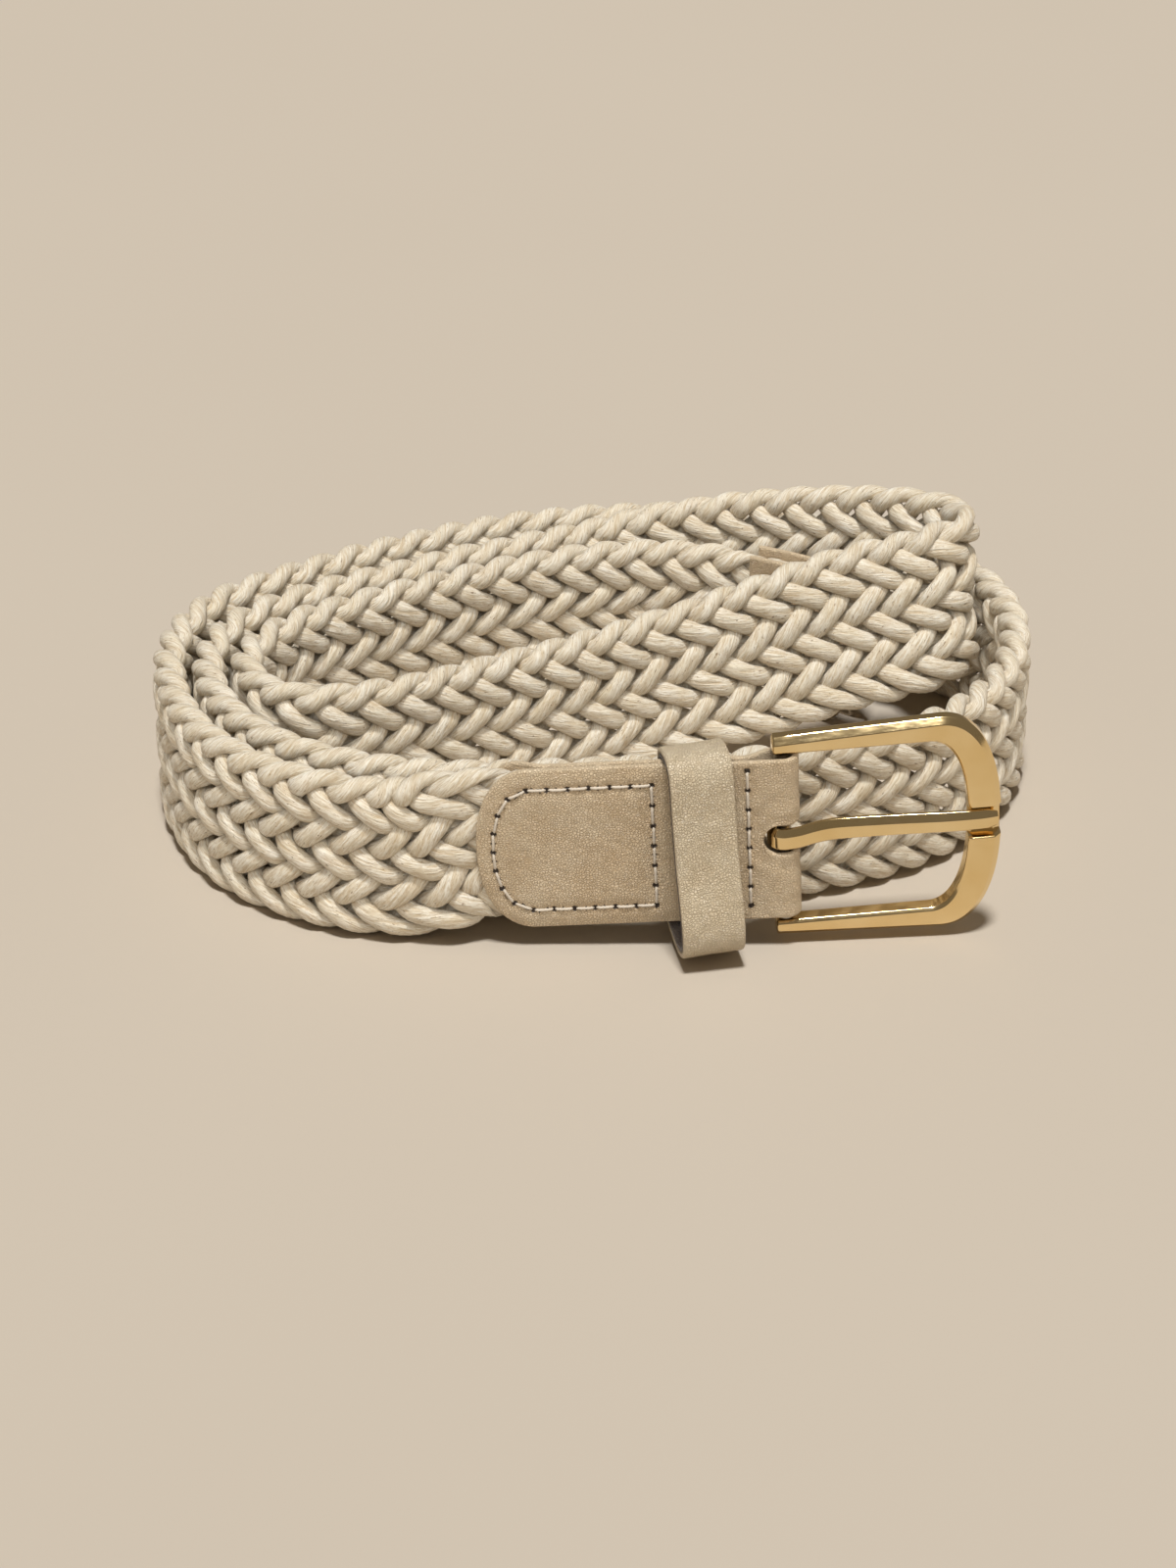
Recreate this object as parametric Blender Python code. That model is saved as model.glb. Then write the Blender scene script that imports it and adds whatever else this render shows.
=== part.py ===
"""Braided cord belt with leather tabs, coiled on its edge with its buckle in front.

The strap is one flat braid that runs on a smooth route: from the buckle at the front
round the outside of the coil, in along three layers, and out to the leather tip that
is tucked away inside. The buckle end is modelled in its own straight frame: X runs
along the strap towards the buckle, Y runs up the strap's width, Z faces outwards, and
the origin is on the axis of the buckle's bar.
"""
import math

import bmesh
import bpy
import numpy as np
from mathutils import Matrix, Vector

MM = 0.001
GAP = 0.3  # clearance between neighbouring pieces

# Driving dimensions, in millimetres and degrees.
STRAP_WIDTH = 30.0
STRAP_THICKNESS = 6.0
STRAP_CHAMFER = 1.2
RAMP = 6.0  # over which the braid swells from pressed to full thickness

BAR_CENTRE = (30.8, -49.4, 20.8)
END_SLOPE = 2.8  # the buckle end is lifted off the floor by its buckle
BAR_RADIUS = 1.2

LEATHER = 1.1
TAB_HEIGHT = 30.0
TAB_LENGTH = 50.6  # from the bar to the rounded tip of the tab
TAB_TIP_DEPTH = 9.4
TIP_POWER = 2.2
SLOT_HALF_HEIGHT = 2.7
SLOT_REACH = 3.4
BRAID_START = -41.0  # the braid's cut end between the leaves, along the buckle end's X

# Inner faces of the tab's two leaves, outwards from the strap's middle. The front leaf is
# flat; the back one comes forward to meet it between the bar and the braid's end.
FRONT_FACE = 1.55
BACK_AT_BAR = -1.55
BACK_CLOSED = 0.95
BACK_AT_BRAID = -2.05
CLOSING = (-0.8, -6.6)
OPENING = (-38.5, -46.5)

TIP_LENGTH = 24.0  # leather on the far end of the strap
TIP_FACE = 1.8  # inner faces of its two leaves, either side of the middle
BRAID_SHORT_OF_TIP = 6.0

STITCH_PITCH = 3.4
SEAM_HALF_HEIGHT = 11.4
SEAM_TIP_DEPTH = 6.4
TAB_SEAM = (-21.4, -47.8)  # its straight end and its rounded end, along the buckle end's X
FOLD_SEAM = (-5.8, 13.4, -12.2)  # its place along X, top and bottom
TIP_SEAM_MARGINS = (3.0, 3.2)
THREAD_WIDTH = 0.7
THREAD_HEIGHT = 0.45

BUCKLE_REST_YAW = 5.0
BUCKLE_DROP = 0.45  # how far the buckle hangs below the middle of the tab
BUCKLE_REACH = 36.0
BUCKLE_DEPTH = 3.2
BUCKLE_HALF_AT_BAR = 18.8
BUCKLE_HALF_AT_RIM = 20.0
WINDOW_HALF = 15.8
WINDOW_REACH = 30.5
OUTER_CORNER = 10.0  # how far before the rim's middle the outer edge starts to turn
INNER_CORNER = 6.6
CORNER_POWER = 2.3
OUTER_BEVEL = 1.15
INNER_BEVEL = 0.55
ARM_TAIL = 1.7
NOTCH_HALF = 2.6
NOTCH_DEPTH = 1.6

PRONG_LOOP_RADIUS = 2.2
PRONG_LOOP_THICKNESS = 1.24
PRONG_RISE = 0.4  # above the middle of the buckle
PRONG_HALF_WIDTHS = ((8.0, 33.8, 35.3), (1.85, 1.7, 1.2))  # along the buckle, half width

KEEPER_CENTRE = -14.3  # along the buckle end's X
KEEPER_WIDTH = 10.5
KEEPER_YAW = 11.0
KEEPER_LEAN = 0.5
KEEPER_OUTER_PLY = 0.9
KEEPER_INNER_PLY = 0.6
STAPLE_WIDTH = 6.4
STAPLE_HEIGHT = 3.2
STAPLE_THICKNESS = 0.4

# Route of the strap's centre line after the tab: x, y, lift of the lower edge over the
# floor, and the strap's lean in degrees, its top towards +Y.
ROUTE = [
    # round the left end of the coil and along the back, outermost layer
    (-29.4, -48.9, 1.1, 0), (-41.4, -46.7, 0.3, 0), (-53.4, -40.8, 0, 0), (-64.4, -30.6, 0, 0),
    (-71.4, -17.4, 0, 0), (-74.6, -3.4, 0, 0), (-73.6, 10.6, 0, 0), (-68.9, 20.6, 0, 0),
    (-59.4, 29.0, 0, 0), (-48.4, 36.6, 0, 0), (-34.4, 44.8, 0, 0), (-17.4, 52.2, 0, 0),
    (-1.4, 56.0, 0, 0), (13.6, 57.2, 0, 0), (27.6, 56.2, 0, 0), (40.6, 52.8, 0, 0),
    (52.6, 47.2, 0, 0), (62.6, 39.6, 0, 0), (70.1, 30.6, 0, 0), (74.2, 18.6, 0, 0),
    # right end, then along the front behind the buckle end
    (74.2, 5.6, 0, 0), (70.4, -7.0, 0, 0), (64.0, -17.2, 0, 0), (55.1, -25.6, 0, 0),
    (45.1, -31.2, 0, 0), (32.6, -35.6, 0, 0), (15.6, -38.8, 0, 0), (-1.4, -40.9, 0, 0),
    (-16.4, -41.5, 0, 0), (-30.4, -40.5, 0, 0), (-42.4, -37.2, 0, 0), (-53.4, -30.9, 0, 0),
    (-61.4, -21.9, 0, 0), (-66.4, -10.9, 0, 0), (-67.8, 0.6, 0, 0), (-64.4, 12.1, 0, 0),
    # second layer along the back, climbing to the raised right-hand turn
    (-56.4, 20.4, 0, 0), (-44.4, 28.1, 0, 0), (-30.4, 35.9, 0, 0), (-15.4, 43.0, 0, 0),
    (-0.4, 47.8, 1.0, 0), (14.6, 49.4, 3.6, 3), (28.6, 46.8, 6.6, 6), (40.6, 42.4, 9.6, 9),
    (51.6, 36.8, 12.4, 12), (60.6, 30.0, 14.8, 15), (65.8, 22.6, 15.8, 17), (62.0, 16.6, 15.2, 17),
    # diagonal stretch across the middle, coming down to the floor
    (49.6, 13.8, 12.6, 17), (35.6, 11.2, 9.0, 14), (16.6, 6.4, 4.4, 9), (-1.4, 0.8, 1.5, 5),
    (-15.4, -4.6, 0.5, 3), (-28.4, -9.8, 0, 0), (-39.4, -14.0, 0, 0), (-49.4, -15.4, 0, 0),
    # innermost turn and the end with the leather tip
    (-57.0, -11.9, 0, 0), (-60.8, -4.4, 0, 0), (-59.6, 5.2, 0, 0), (-53.4, 13.0, 0, 0),
    (-41.4, 21.2, 0, 0), (-27.4, 29.0, 0, 0), (-13.4, 35.8, 0, 0), (0.6, 40.2, 0, 0),
    (14.6, 40.9, 0, 0), (28.6, 37.0, 0, 0), (40.0, 30.9, 0, 0), (49.2, 23.4, 0, 0),
]
TAB_STATIONS = (-8.3, -20.0, -32.0, -43.0, -53.0)  # before it, along the buckle end's X

# Keeper loop, mid-thickness, in its own frame: outwards, up. Listed once round.
KEEPER_LOOP = [
    (0.6, 16.4), (3.7, 16.4), (5.7, 14.3), (6.3, 7.5), (7.5, -1.0), (9.3, -7.5), (10.2, -12.4),
    (9.3, -16.0), (6.0, -17.7), (1.4, -17.6), (-2.0, -16.9), (-3.3, -14.6), (-3.3, -6.0),
    (-3.3, 4.0), (-3.3, 12.2), (-2.4, 15.3),
]

# Prong's centre line after its loop: along the buckle, outwards, half thickness.
PRONG_LINE = [
    (2.2, 1.85, 0.64), (4.6, 0.95, 0.7), (7.5, 0.2, 0.75), (12.0, 0.1, 0.8), (20.0, 0.5, 0.8),
    (28.0, 1.05, 0.78), (31.0, 1.15, 0.72), (33.4, 1.1, 0.68), (35.3, 1.0, 0.45),
]


# ---------------------------------------------------------------- helpers

def clear_scene():
    for obj in list(bpy.data.objects):
        bpy.data.objects.remove(obj, do_unlink=True)


def material(name, colour, roughness, metallic=0.0):
    mat = bpy.data.materials.new(name)
    mat.use_nodes = True
    shader = mat.node_tree.nodes["Principled BSDF"]
    shader.inputs["Base Color"].default_value = (*colour, 1.0)
    shader.inputs["Roughness"].default_value = roughness
    shader.inputs["Metallic"].default_value = metallic
    return mat


def add_object(name, shell, mat, parent=None, smooth=True):
    """Make one object from a shell, a (points in mm, faces) pair."""
    mesh = bpy.data.meshes.new(name)
    points, faces = shell
    mesh.from_pydata([tuple(MM * c for c in p) for p in points], [], faces)
    work = bmesh.new()
    work.from_mesh(mesh)
    bmesh.ops.recalc_face_normals(work, faces=work.faces)
    work.to_mesh(mesh)
    work.free()
    mesh.materials.append(mat)
    if smooth:
        mesh.shade_smooth()
        mesh.set_sharp_from_angle(angle=math.radians(35))
    obj = bpy.data.objects.new(name, mesh)
    bpy.context.scene.collection.objects.link(obj)
    obj.parent = parent
    return obj


def loft(rings, closed=False):
    """Skin a list of rings of points; the ends are capped unless the rings close up."""
    count = len(rings[0])
    points = [tuple(p) for ring in rings for p in ring]
    faces = []
    spans = len(rings) if closed else len(rings) - 1
    for r in range(spans):
        here = r * count
        there = ((r + 1) % len(rings)) * count
        for i in range(count):
            j = (i + 1) % count
            faces.append((here + i, here + j, there + j, there + i))
    if not closed:
        faces.append(tuple(range(count)))
        faces.append(tuple(range(len(points) - count, len(points))))
    return points, faces


def chamfered(half_a, half_b, chamfer):
    """Corner points of a rectangle with cut corners, once round."""
    a, b, c = half_a, half_b, chamfer
    right = [(a - c, b), (a, b - c), (a, c - b), (a - c, -b)]
    return right + [(-x, -y) for x, y in right]


def cubic_spline(points):
    """A natural cubic spline through the points, as a function of chord length."""
    pts = np.array(points, float)
    knots = np.concatenate([[0.0], np.cumsum(np.linalg.norm(np.diff(pts[:, :2], axis=0), axis=1))])
    steps = np.diff(knots)
    count = len(pts)
    system = np.eye(count)
    right = np.zeros_like(pts)
    for i in range(1, count - 1):
        system[i, i - 1] = steps[i - 1]
        system[i, i] = 2 * (steps[i - 1] + steps[i])
        system[i, i + 1] = steps[i]
        right[i] = 3 * ((pts[i + 1] - pts[i]) / steps[i] - (pts[i] - pts[i - 1]) / steps[i - 1])
    quad = np.linalg.solve(system, right)

    def at(t):
        i = np.clip(np.searchsorted(knots, t, side="right") - 1, 0, count - 2)
        h = steps[i][:, None]
        d = (t - knots[i])[:, None]
        linear = (pts[i + 1] - pts[i]) / h - h * (2 * quad[i] + quad[i + 1]) / 3
        cube = (quad[i + 1] - quad[i]) / (3 * h)
        return pts[i] + linear * d + quad[i] * d ** 2 + cube * d ** 3

    return at, knots[-1]


def closed_curve(points, per_span):
    """Points on a closed Catmull-Rom curve through the points."""
    pts = np.array(points, float)
    out = []
    for i in range(len(pts)):
        p0, p1, p2, p3 = (pts[(i + k) % len(pts)] for k in (-1, 0, 1, 2))
        for k in range(per_span):
            t = k / per_span
            out.append(0.5 * (2 * p1 + (p2 - p0) * t + (2 * p0 - 5 * p1 + 4 * p2 - p3) * t ** 2
                              + (3 * p1 - p0 - 3 * p2 + p3) * t ** 3))
    return np.array(out)


def unit(vectors):
    return vectors / np.linalg.norm(vectors, axis=-1, keepdims=True)


# ---------------------------------------------------------------- frames

def end_matrix():
    """World matrix of the buckle end's frame: X along the strap, Y up it, Z outwards."""
    slope = math.radians(END_SLOPE)
    along = Vector((math.cos(slope), 0, math.sin(slope)))
    up = Vector((-math.sin(slope), 0, math.cos(slope)))
    matrix = Matrix((along, up, along.cross(up))).transposed().to_4x4()
    matrix.translation = Vector(BAR_CENTRE) * MM
    return matrix


def add_empty(name, parent=None):
    empty = bpy.data.objects.new(name, None)
    bpy.context.scene.collection.objects.link(empty)
    empty.parent = parent
    return empty


class Strap:
    """The strap's route, sampled finely, with its outward and upward directions."""

    STEP = 0.5

    def __init__(self):
        slope = math.radians(END_SLOPE)
        start = []
        for u in TAB_STATIONS:
            x = BAR_CENTRE[0] + u * math.cos(slope)
            z = BAR_CENTRE[2] + u * math.sin(slope)
            start.append((x, BAR_CENTRE[1], z - STRAP_WIDTH / 2, 0))
        at, total = cubic_spline(start + ROUTE)
        rows = at(np.linspace(0, total, int(total / self.STEP) + 1))
        lean = np.radians(rows[:, 3])
        lift = np.maximum(rows[:, 2], 0.0)
        middle_height = lift + STRAP_WIDTH / 2 * np.cos(lean)
        self.middle = np.column_stack([rows[:, 0], rows[:, 1], middle_height])
        along = unit(np.gradient(self.middle, axis=0))
        upright = np.column_stack([0 * lean, np.sin(lean), np.cos(lean)])
        self.out = unit(np.cross(upright, along))
        self.up = np.cross(along, self.out)
        hops = np.linalg.norm(np.diff(self.middle, axis=0), axis=1)
        self.dist = np.concatenate([[0.0], np.cumsum(hops)])
        self.length = self.dist[-1]
        outside = -TAB_LENGTH - 1.0
        tab_places = [TAB_STATIONS[0] - u for u in (BRAID_START, OPENING[1], outside, outside - RAMP)]
        tip_edge = self.length - TIP_LENGTH - 1.0
        self.places = (*tab_places, tip_edge - RAMP, tip_edge, self.length)
        full = STRAP_THICKNESS / 2
        flat = TIP_FACE - GAP
        front = FRONT_FACE - GAP
        back = BACK_AT_BRAID + GAP
        self.fronts = (front, front, front, full, full, flat, flat)
        self.backs = (back_face(BRAID_START) + GAP, back, back, -full, -full, -flat, -flat)

    def point(self, s, w, n):
        """The point at s along the strap, w up its width and n outwards."""
        frame = [np.array([np.interp(s, self.dist, v[:, k]) for k in range(3)])
                 for v in (self.middle, self.up, self.out)]
        return frame[0] + w * frame[1] + n * frame[2]

    def faces(self, s):
        """The braid's back and front: it is pressed thinner inside the leather at both ends."""
        return float(np.interp(s, self.places, self.backs)), float(np.interp(s, self.places, self.fronts))

    def stations(self, start, stop, turn=11.0, longest=8.0):
        """Distances along the strap, closer together where it turns tightly."""
        heading = np.unwrap(np.arctan2(self.out[:, 1], self.out[:, 0]))
        picked = [start]
        last = np.searchsorted(self.dist, start)
        for i in range(last + 1, len(self.dist)):
            if self.dist[i] >= stop - self.STEP:
                break
            turned = abs(math.degrees(heading[i] - heading[last]))
            if turned >= turn or self.dist[i] - self.dist[last] >= longest:
                picked.append(self.dist[i])
                last = i
        return picked + [stop]


# ---------------------------------------------------------------- the braid and its ends

def braided_strap(strap, mat):
    """The braid as one plain ribbon with cut corners."""
    limits = (*strap.places[:-1], strap.length - BRAID_SHORT_OF_TIP)
    stops = [limits[0]]
    for start, stop in zip(limits[:-1], limits[1:]):
        stops += strap.stations(start, stop)[1:]
    rings = []
    for s in stops:
        back, front = strap.faces(s)
        chamfer = min(STRAP_CHAMFER, (front - back) / 3)
        section = chamfered((front - back) / 2, STRAP_WIDTH / 2, chamfer)
        rings.append([strap.point(s, w, n + (front + back) / 2) for n, w in section])
    return add_object("braided_strap", loft(rings), mat)


def tip_recess(w, half_height, depth):
    """How far the rounded end of a leaf falls back at height w."""
    share = min(abs(w) / half_height, 1.0)
    return depth * (1 - (1 - share ** TIP_POWER) ** (1 / TIP_POWER))


def leaf_rows(half_height, count=9):
    """Heights across a leaf, closer together towards its two long edges."""
    angles = np.linspace(-math.pi / 2, math.pi / 2, 2 * count + 1)
    return [half_height * math.sin(a) for a in angles]


def tip_leaf(strap, name, side, mat):
    """One face of the leather tip; side is +1 on the outer face and -1 on the inner."""
    half = TAB_HEIGHT / 2
    inner = TIP_FACE
    begin = strap.length - TIP_LENGTH
    rings = []
    for w in leaf_rows(half):
        end = strap.length - tip_recess(w, half, TAB_TIP_DEPTH)
        stretch = [begin + 3 * k for k in range(5)] + [end]
        near = [strap.point(s, w, side * inner) for s in stretch]
        far = [strap.point(s, w, side * (inner + LEATHER)) for s in reversed(stretch)]
        rings.append(near + far)
    return add_object(name, loft(rings), mat)


# ---------------------------------------------------------------- the leather tab

def smooth(x, start, stop):
    t = min(max((x - start) / (stop - start), 0), 1)
    return t * t * (3 - 2 * t)


def back_face(u):
    """Inner face of the tab's back leaf at u."""
    closed = (BACK_CLOSED - BACK_AT_BAR) * smooth(-u, -CLOSING[0], -CLOSING[1])
    opened = (BACK_AT_BRAID - BACK_CLOSED) * smooth(-u, -OPENING[0], -OPENING[1])
    return BACK_AT_BAR + closed + opened


def spread(start, stop, count):
    return list(np.linspace(start, stop, count))


def buckle_tab(mat, parent):
    """One sheet folded round the bar: front leaf, bend, back leaf."""
    half = TAB_HEIGHT / 2
    bend = spread(90, -90, 13)[1:-1]
    rings = []
    for w in leaf_rows(half):
        end = -TAB_LENGTH + tip_recess(w, half, TAB_TIP_DEPTH)
        front = spread(end, 0, 4)
        back = [0.0] + spread(*CLOSING, 7) + [-22.0] + spread(OPENING[0], end, 8)
        faces = []
        for offset in (LEATHER, 0.0):
            turn = [(FRONT_FACE + offset, math.radians(a)) for a in bend]
            faces.append([(u, w, FRONT_FACE + offset) for u in front]
                         + [(r * math.cos(a), w, r * math.sin(a)) for r, a in turn]
                         + [(u, w, back_face(u) - offset) for u in back])
        rings.append(faces[0] + faces[1][::-1])
    tab = add_object("buckle_tab", loft(rings), mat, parent)
    cut = tab.modifiers.new("prong_slot", "BOOLEAN")
    cut.operation = "DIFFERENCE"
    cut.object = slot_cutter(parent)
    return tab


def slot_cutter(parent):
    """Round-ended slot through the fold, from its left end out past the bend."""
    centre = SLOT_HALF_HEIGHT - SLOT_REACH
    beyond = 12.0
    outline = [(beyond, SLOT_HALF_HEIGHT)]
    for k in range(13):
        angle = math.pi / 2 + math.pi * k / 12
        outline.append((centre + SLOT_HALF_HEIGHT * math.cos(angle), SLOT_HALF_HEIGHT * math.sin(angle)))
    outline.append((beyond, -SLOT_HALF_HEIGHT))
    rings = [[(u, w, n) for u, w in outline] for n in (-9.0, 9.0)]
    cutter = add_object("slot_cutter", loft(rings), None, parent)
    cutter.hide_render = True
    cutter.display_type = "WIRE"
    return cutter


# ---------------------------------------------------------------- stitching

def resample(path, pitch, closed):
    """Points at an even pitch along a 2-D path."""
    pts = np.array(path, float)
    if closed:
        pts = np.vstack([pts, pts[:1]])
    dist = np.concatenate([[0.0], np.cumsum(np.linalg.norm(np.diff(pts, axis=0), axis=1))])
    count = round(dist[-1] / pitch)
    marks = np.linspace(0, dist[-1], count + 1)
    return np.column_stack([np.interp(marks, dist, pts[:, k]) for k in range(2)])


def thread(path, side, place, closed):
    """One thread along a seam, standing just proud of the leather."""
    spots = path[:-1] if closed else path
    if closed:
        along = unit(np.roll(spots, -1, axis=0) - np.roll(spots, 1, axis=0))
    else:
        along = unit(np.gradient(spots, axis=0))
    across = np.column_stack([-along[:, 1], along[:, 0]]) * THREAD_WIDTH / 2
    rings = []
    for spot, edge in zip(spots, across):
        low, high = GAP, GAP + THREAD_HEIGHT
        corners = ((-1, low), (1, low), (1, high), (-1, high))
        rings.append([place(*(spot + edge * k), height, side) for k, height in corners])
    return loft(rings, closed)


def seam_threads(name, path, place, closed, mat, parent):
    """The needle thread on the outer face and the bobbin thread on the inner one."""
    add_object(name + "_needle_thread", thread(path, 1, place, closed), mat, parent, False)
    add_object(name + "_bobbin_thread", thread(path, -1, place, closed), mat, parent, False)


def rounded_seam(begin, end):
    """Closed seam with one straight end, at begin, and one rounded end."""
    half = SEAM_HALF_HEIGHT
    turn = math.copysign(1, begin - end)
    curve = [(end + turn * tip_recess(w, half, SEAM_TIP_DEPTH), w) for w in leaf_rows(half)]
    return resample([(begin, -half)] + curve + [(begin, half)], STITCH_PITCH / 3, closed=True)


def fold_path():
    place, top, bottom = FOLD_SEAM
    return resample([(place, top), (place, bottom)], STITCH_PITCH, closed=False)


# ---------------------------------------------------------------- the keeper

def keeper_ply(name, inner_offset, outer_offset, mat, parent):
    """A closed band round the keeper's loop between two offsets from its middle."""
    loop = closed_curve(KEEPER_LOOP, 3)
    along = unit(np.roll(loop, -1, axis=0) - np.roll(loop, 1, axis=0))
    outward = np.column_stack([-along[:, 1], along[:, 0]])
    half = KEEPER_WIDTH / 2
    rings = []
    for spot, normal in zip(loop, outward):
        low = spot + normal * inner_offset
        high = spot + normal * outer_offset
        rings.append([(-half, low[1], low[0]), (half, low[1], low[0]),
                      (half, high[1], high[0]), (-half, high[1], high[0])])
    return add_object(name, loft(rings, closed=True), mat, parent)


def keeper(leather, lining, steel, parent):
    middle = (KEEPER_OUTER_PLY + KEEPER_INNER_PLY + GAP) / 2
    keeper_ply("keeper_leather", middle - KEEPER_OUTER_PLY, middle, leather, parent)
    keeper_ply("keeper_lining", -middle, -middle + KEEPER_INNER_PLY, lining, parent)
    face = KEEPER_LOOP[12][0] - middle - GAP
    top = STAPLE_HEIGHT / 2
    far = face - STAPLE_THICKNESS
    section = ((face, -top), (far, STAPLE_THICKNESS - top), (far, top - STAPLE_THICKNESS), (face, top))
    rings = [[(u, w, n) for n, w in section] for u in (-STAPLE_WIDTH / 2, STAPLE_WIDTH / 2)]
    add_object("keeper_staple", loft(rings), steel, parent)


# ---------------------------------------------------------------- buckle, bar and prong

def rim_point(reach, corner, half, share):
    """A point of an edge's rounded end; share runs from 0 at the arm to 1 at mid-rim."""
    angle = math.pi / 2 * (1 - share)
    along = corner * math.cos(angle) ** (2 / CORNER_POWER)
    return reach - corner + along, half * math.sin(angle) ** (2 / CORNER_POWER)


def buckle_outline():
    """Outer and inner points of the open frame, from the upper arm's tail to the notch."""
    pairs = []
    for t in spread(0, 1, 7)[:-1]:
        outer = (-ARM_TAIL + (BUCKLE_REACH - OUTER_CORNER + ARM_TAIL) * t,
                 BUCKLE_HALF_AT_BAR + (BUCKLE_HALF_AT_RIM - BUCKLE_HALF_AT_BAR) * t)
        inner = (-ARM_TAIL + (WINDOW_REACH - INNER_CORNER + ARM_TAIL) * t, WINDOW_HALF)
        pairs.append((outer, inner))
    for share in spread(0, 0.9, 16):
        pairs.append((rim_point(BUCKLE_REACH, OUTER_CORNER, BUCKLE_HALF_AT_RIM, share),
                      rim_point(WINDOW_REACH, INNER_CORNER, WINDOW_HALF, share)))
    return pairs


def buckle_section(outer, inner, lowered, shrink=0.0):
    """A bevelled section between the inner and outer edge, flat at the back."""
    out = np.array(outer)
    into = np.array(inner)
    across = unit(out - into)
    out = out - across * shrink
    into = into + across * shrink
    back = -BUCKLE_DEPTH / 2 + shrink
    front = BUCKLE_DEPTH / 2 - lowered - shrink
    spots = [(into, back), (out, back), (out, front - OUTER_BEVEL), (out - across * OUTER_BEVEL, front),
             (into + across * INNER_BEVEL, front), (into, front - INNER_BEVEL)]
    return [(p[0], p[1], n) for p, n in spots]


def buckle_frame(mat, parent):
    half = buckle_outline()
    rings = [buckle_section(*half[0], 0.0, shrink=0.4)]
    first_outer, first_inner = half[0]
    half[0] = ((first_outer[0] + 0.4, first_outer[1]), (first_inner[0] + 0.4, first_inner[1]))
    rings += [buckle_section(outer, inner, 0.0) for outer, inner in half]
    for height, lowered in ((NOTCH_HALF + 0.4, 0.0), (NOTCH_HALF, NOTCH_DEPTH)):
        rings.append(buckle_section((BUCKLE_REACH, height), (WINDOW_REACH, height), lowered))
    mirrored = [[(u, -w, n) for u, w, n in ring] for ring in reversed(rings)]
    return add_object("buckle_frame", loft(rings + mirrored), mat, parent)


def buckle_bar(mat, parent):
    half = WINDOW_HALF - GAP
    circle = [2 * math.pi * k / 20 for k in range(20)]
    rings = [[(BAR_RADIUS * math.cos(a), w, BAR_RADIUS * math.sin(a)) for a in circle] for w in (-half, half)]
    return add_object("buckle_bar", loft(rings), mat, parent)


def prong(mat, parent):
    """A flat tongue with a loop round the bar, bent outwards and tapered to its tip."""
    line = []
    for k in range(15):
        angle = math.radians(-62 - 208 * k / 14)
        line.append((PRONG_LOOP_RADIUS * math.cos(angle), PRONG_LOOP_RADIUS * math.sin(angle),
                     PRONG_LOOP_THICKNESS / 2))
    line += PRONG_LINE
    path = np.array(line)
    along = unit(np.gradient(path[:, :2], axis=0))
    normal = np.column_stack([-along[:, 1], along[:, 0]])
    rings = []
    for spot, side, half_thick in zip(path[:, :2], normal, path[:, 2]):
        half_width = np.interp(spot[0], *PRONG_HALF_WIDTHS)
        section = chamfered(half_thick, half_width, 0.35)
        rings.append([(spot[0] + side[0] * n, w + PRONG_RISE, spot[1] + side[1] * n) for n, w in section])
    return add_object("prong", loft(rings), mat, parent)


# ---------------------------------------------------------------- assembly

def main():
    clear_scene()
    cord = material("cord", (0.74, 0.68, 0.56), 0.7)
    leather = material("leather", (0.49, 0.39, 0.27), 0.5)
    thread_mat = material("thread", (0.62, 0.56, 0.48), 0.8)
    lining = material("lining", (0.16, 0.13, 0.11), 0.95)
    gold = material("gold", (0.78, 0.6, 0.32), 0.18, 1.0)
    steel = material("steel", (0.6, 0.58, 0.54), 0.3, 1.0)

    strap = Strap()
    end = add_empty("buckle_end")
    end.matrix_world = end_matrix()
    buckle = add_empty("buckle_pivot", end)
    buckle.location = (0, -BUCKLE_DROP * MM, 0)
    buckle.rotation_euler = (0, math.radians(BUCKLE_REST_YAW), 0)
    slider = add_empty("keeper_slider", end)
    slider.location = (KEEPER_CENTRE * MM, 0, 0)
    slider.rotation_euler = (0, math.radians(KEEPER_YAW), math.radians(KEEPER_LEAN))

    braided_strap(strap, cord)
    tip_leaf(strap, "tip_outer_leather", 1, leather)
    tip_leaf(strap, "tip_inner_leather", -1, leather)
    buckle_tab(leather, end)

    def on_tab(u, w, height, side):
        surface = FRONT_FACE + LEATHER if side > 0 else back_face(u) - LEATHER
        return (u, w, surface + side * height)

    def on_tip(s, w, height, side):
        return strap.point(s, w, side * (TIP_FACE + LEATHER + height))

    seam_threads("tab", rounded_seam(*TAB_SEAM), on_tab, True, thread_mat, end)
    seam_threads("fold", fold_path(), on_tab, False, thread_mat, end)
    begin = strap.length - TIP_LENGTH + TIP_SEAM_MARGINS[0]
    tip_seam = rounded_seam(begin, strap.length - TIP_SEAM_MARGINS[1])
    seam_threads("tip", tip_seam, on_tip, True, thread_mat, None)

    keeper(leather, lining, steel, slider)
    buckle_frame(gold, buckle)
    buckle_bar(steel, buckle)
    prong(gold, buckle)


main()
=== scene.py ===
"""Looks for the braided belt: twelve waxed cotton cords, leather, stitching, pale gold buckle.

Shapes are worked out in millimetres. The strap has its own coordinates: s along its
route, w up its width and n outwards. The buckle end has a straight frame of its own:
u towards the buckle, w up and n outwards, with its origin on the buckle's bar.
"""
import math

import bpy
import bmesh
import numpy as np
from mathutils import Euler, Matrix, Vector


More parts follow.
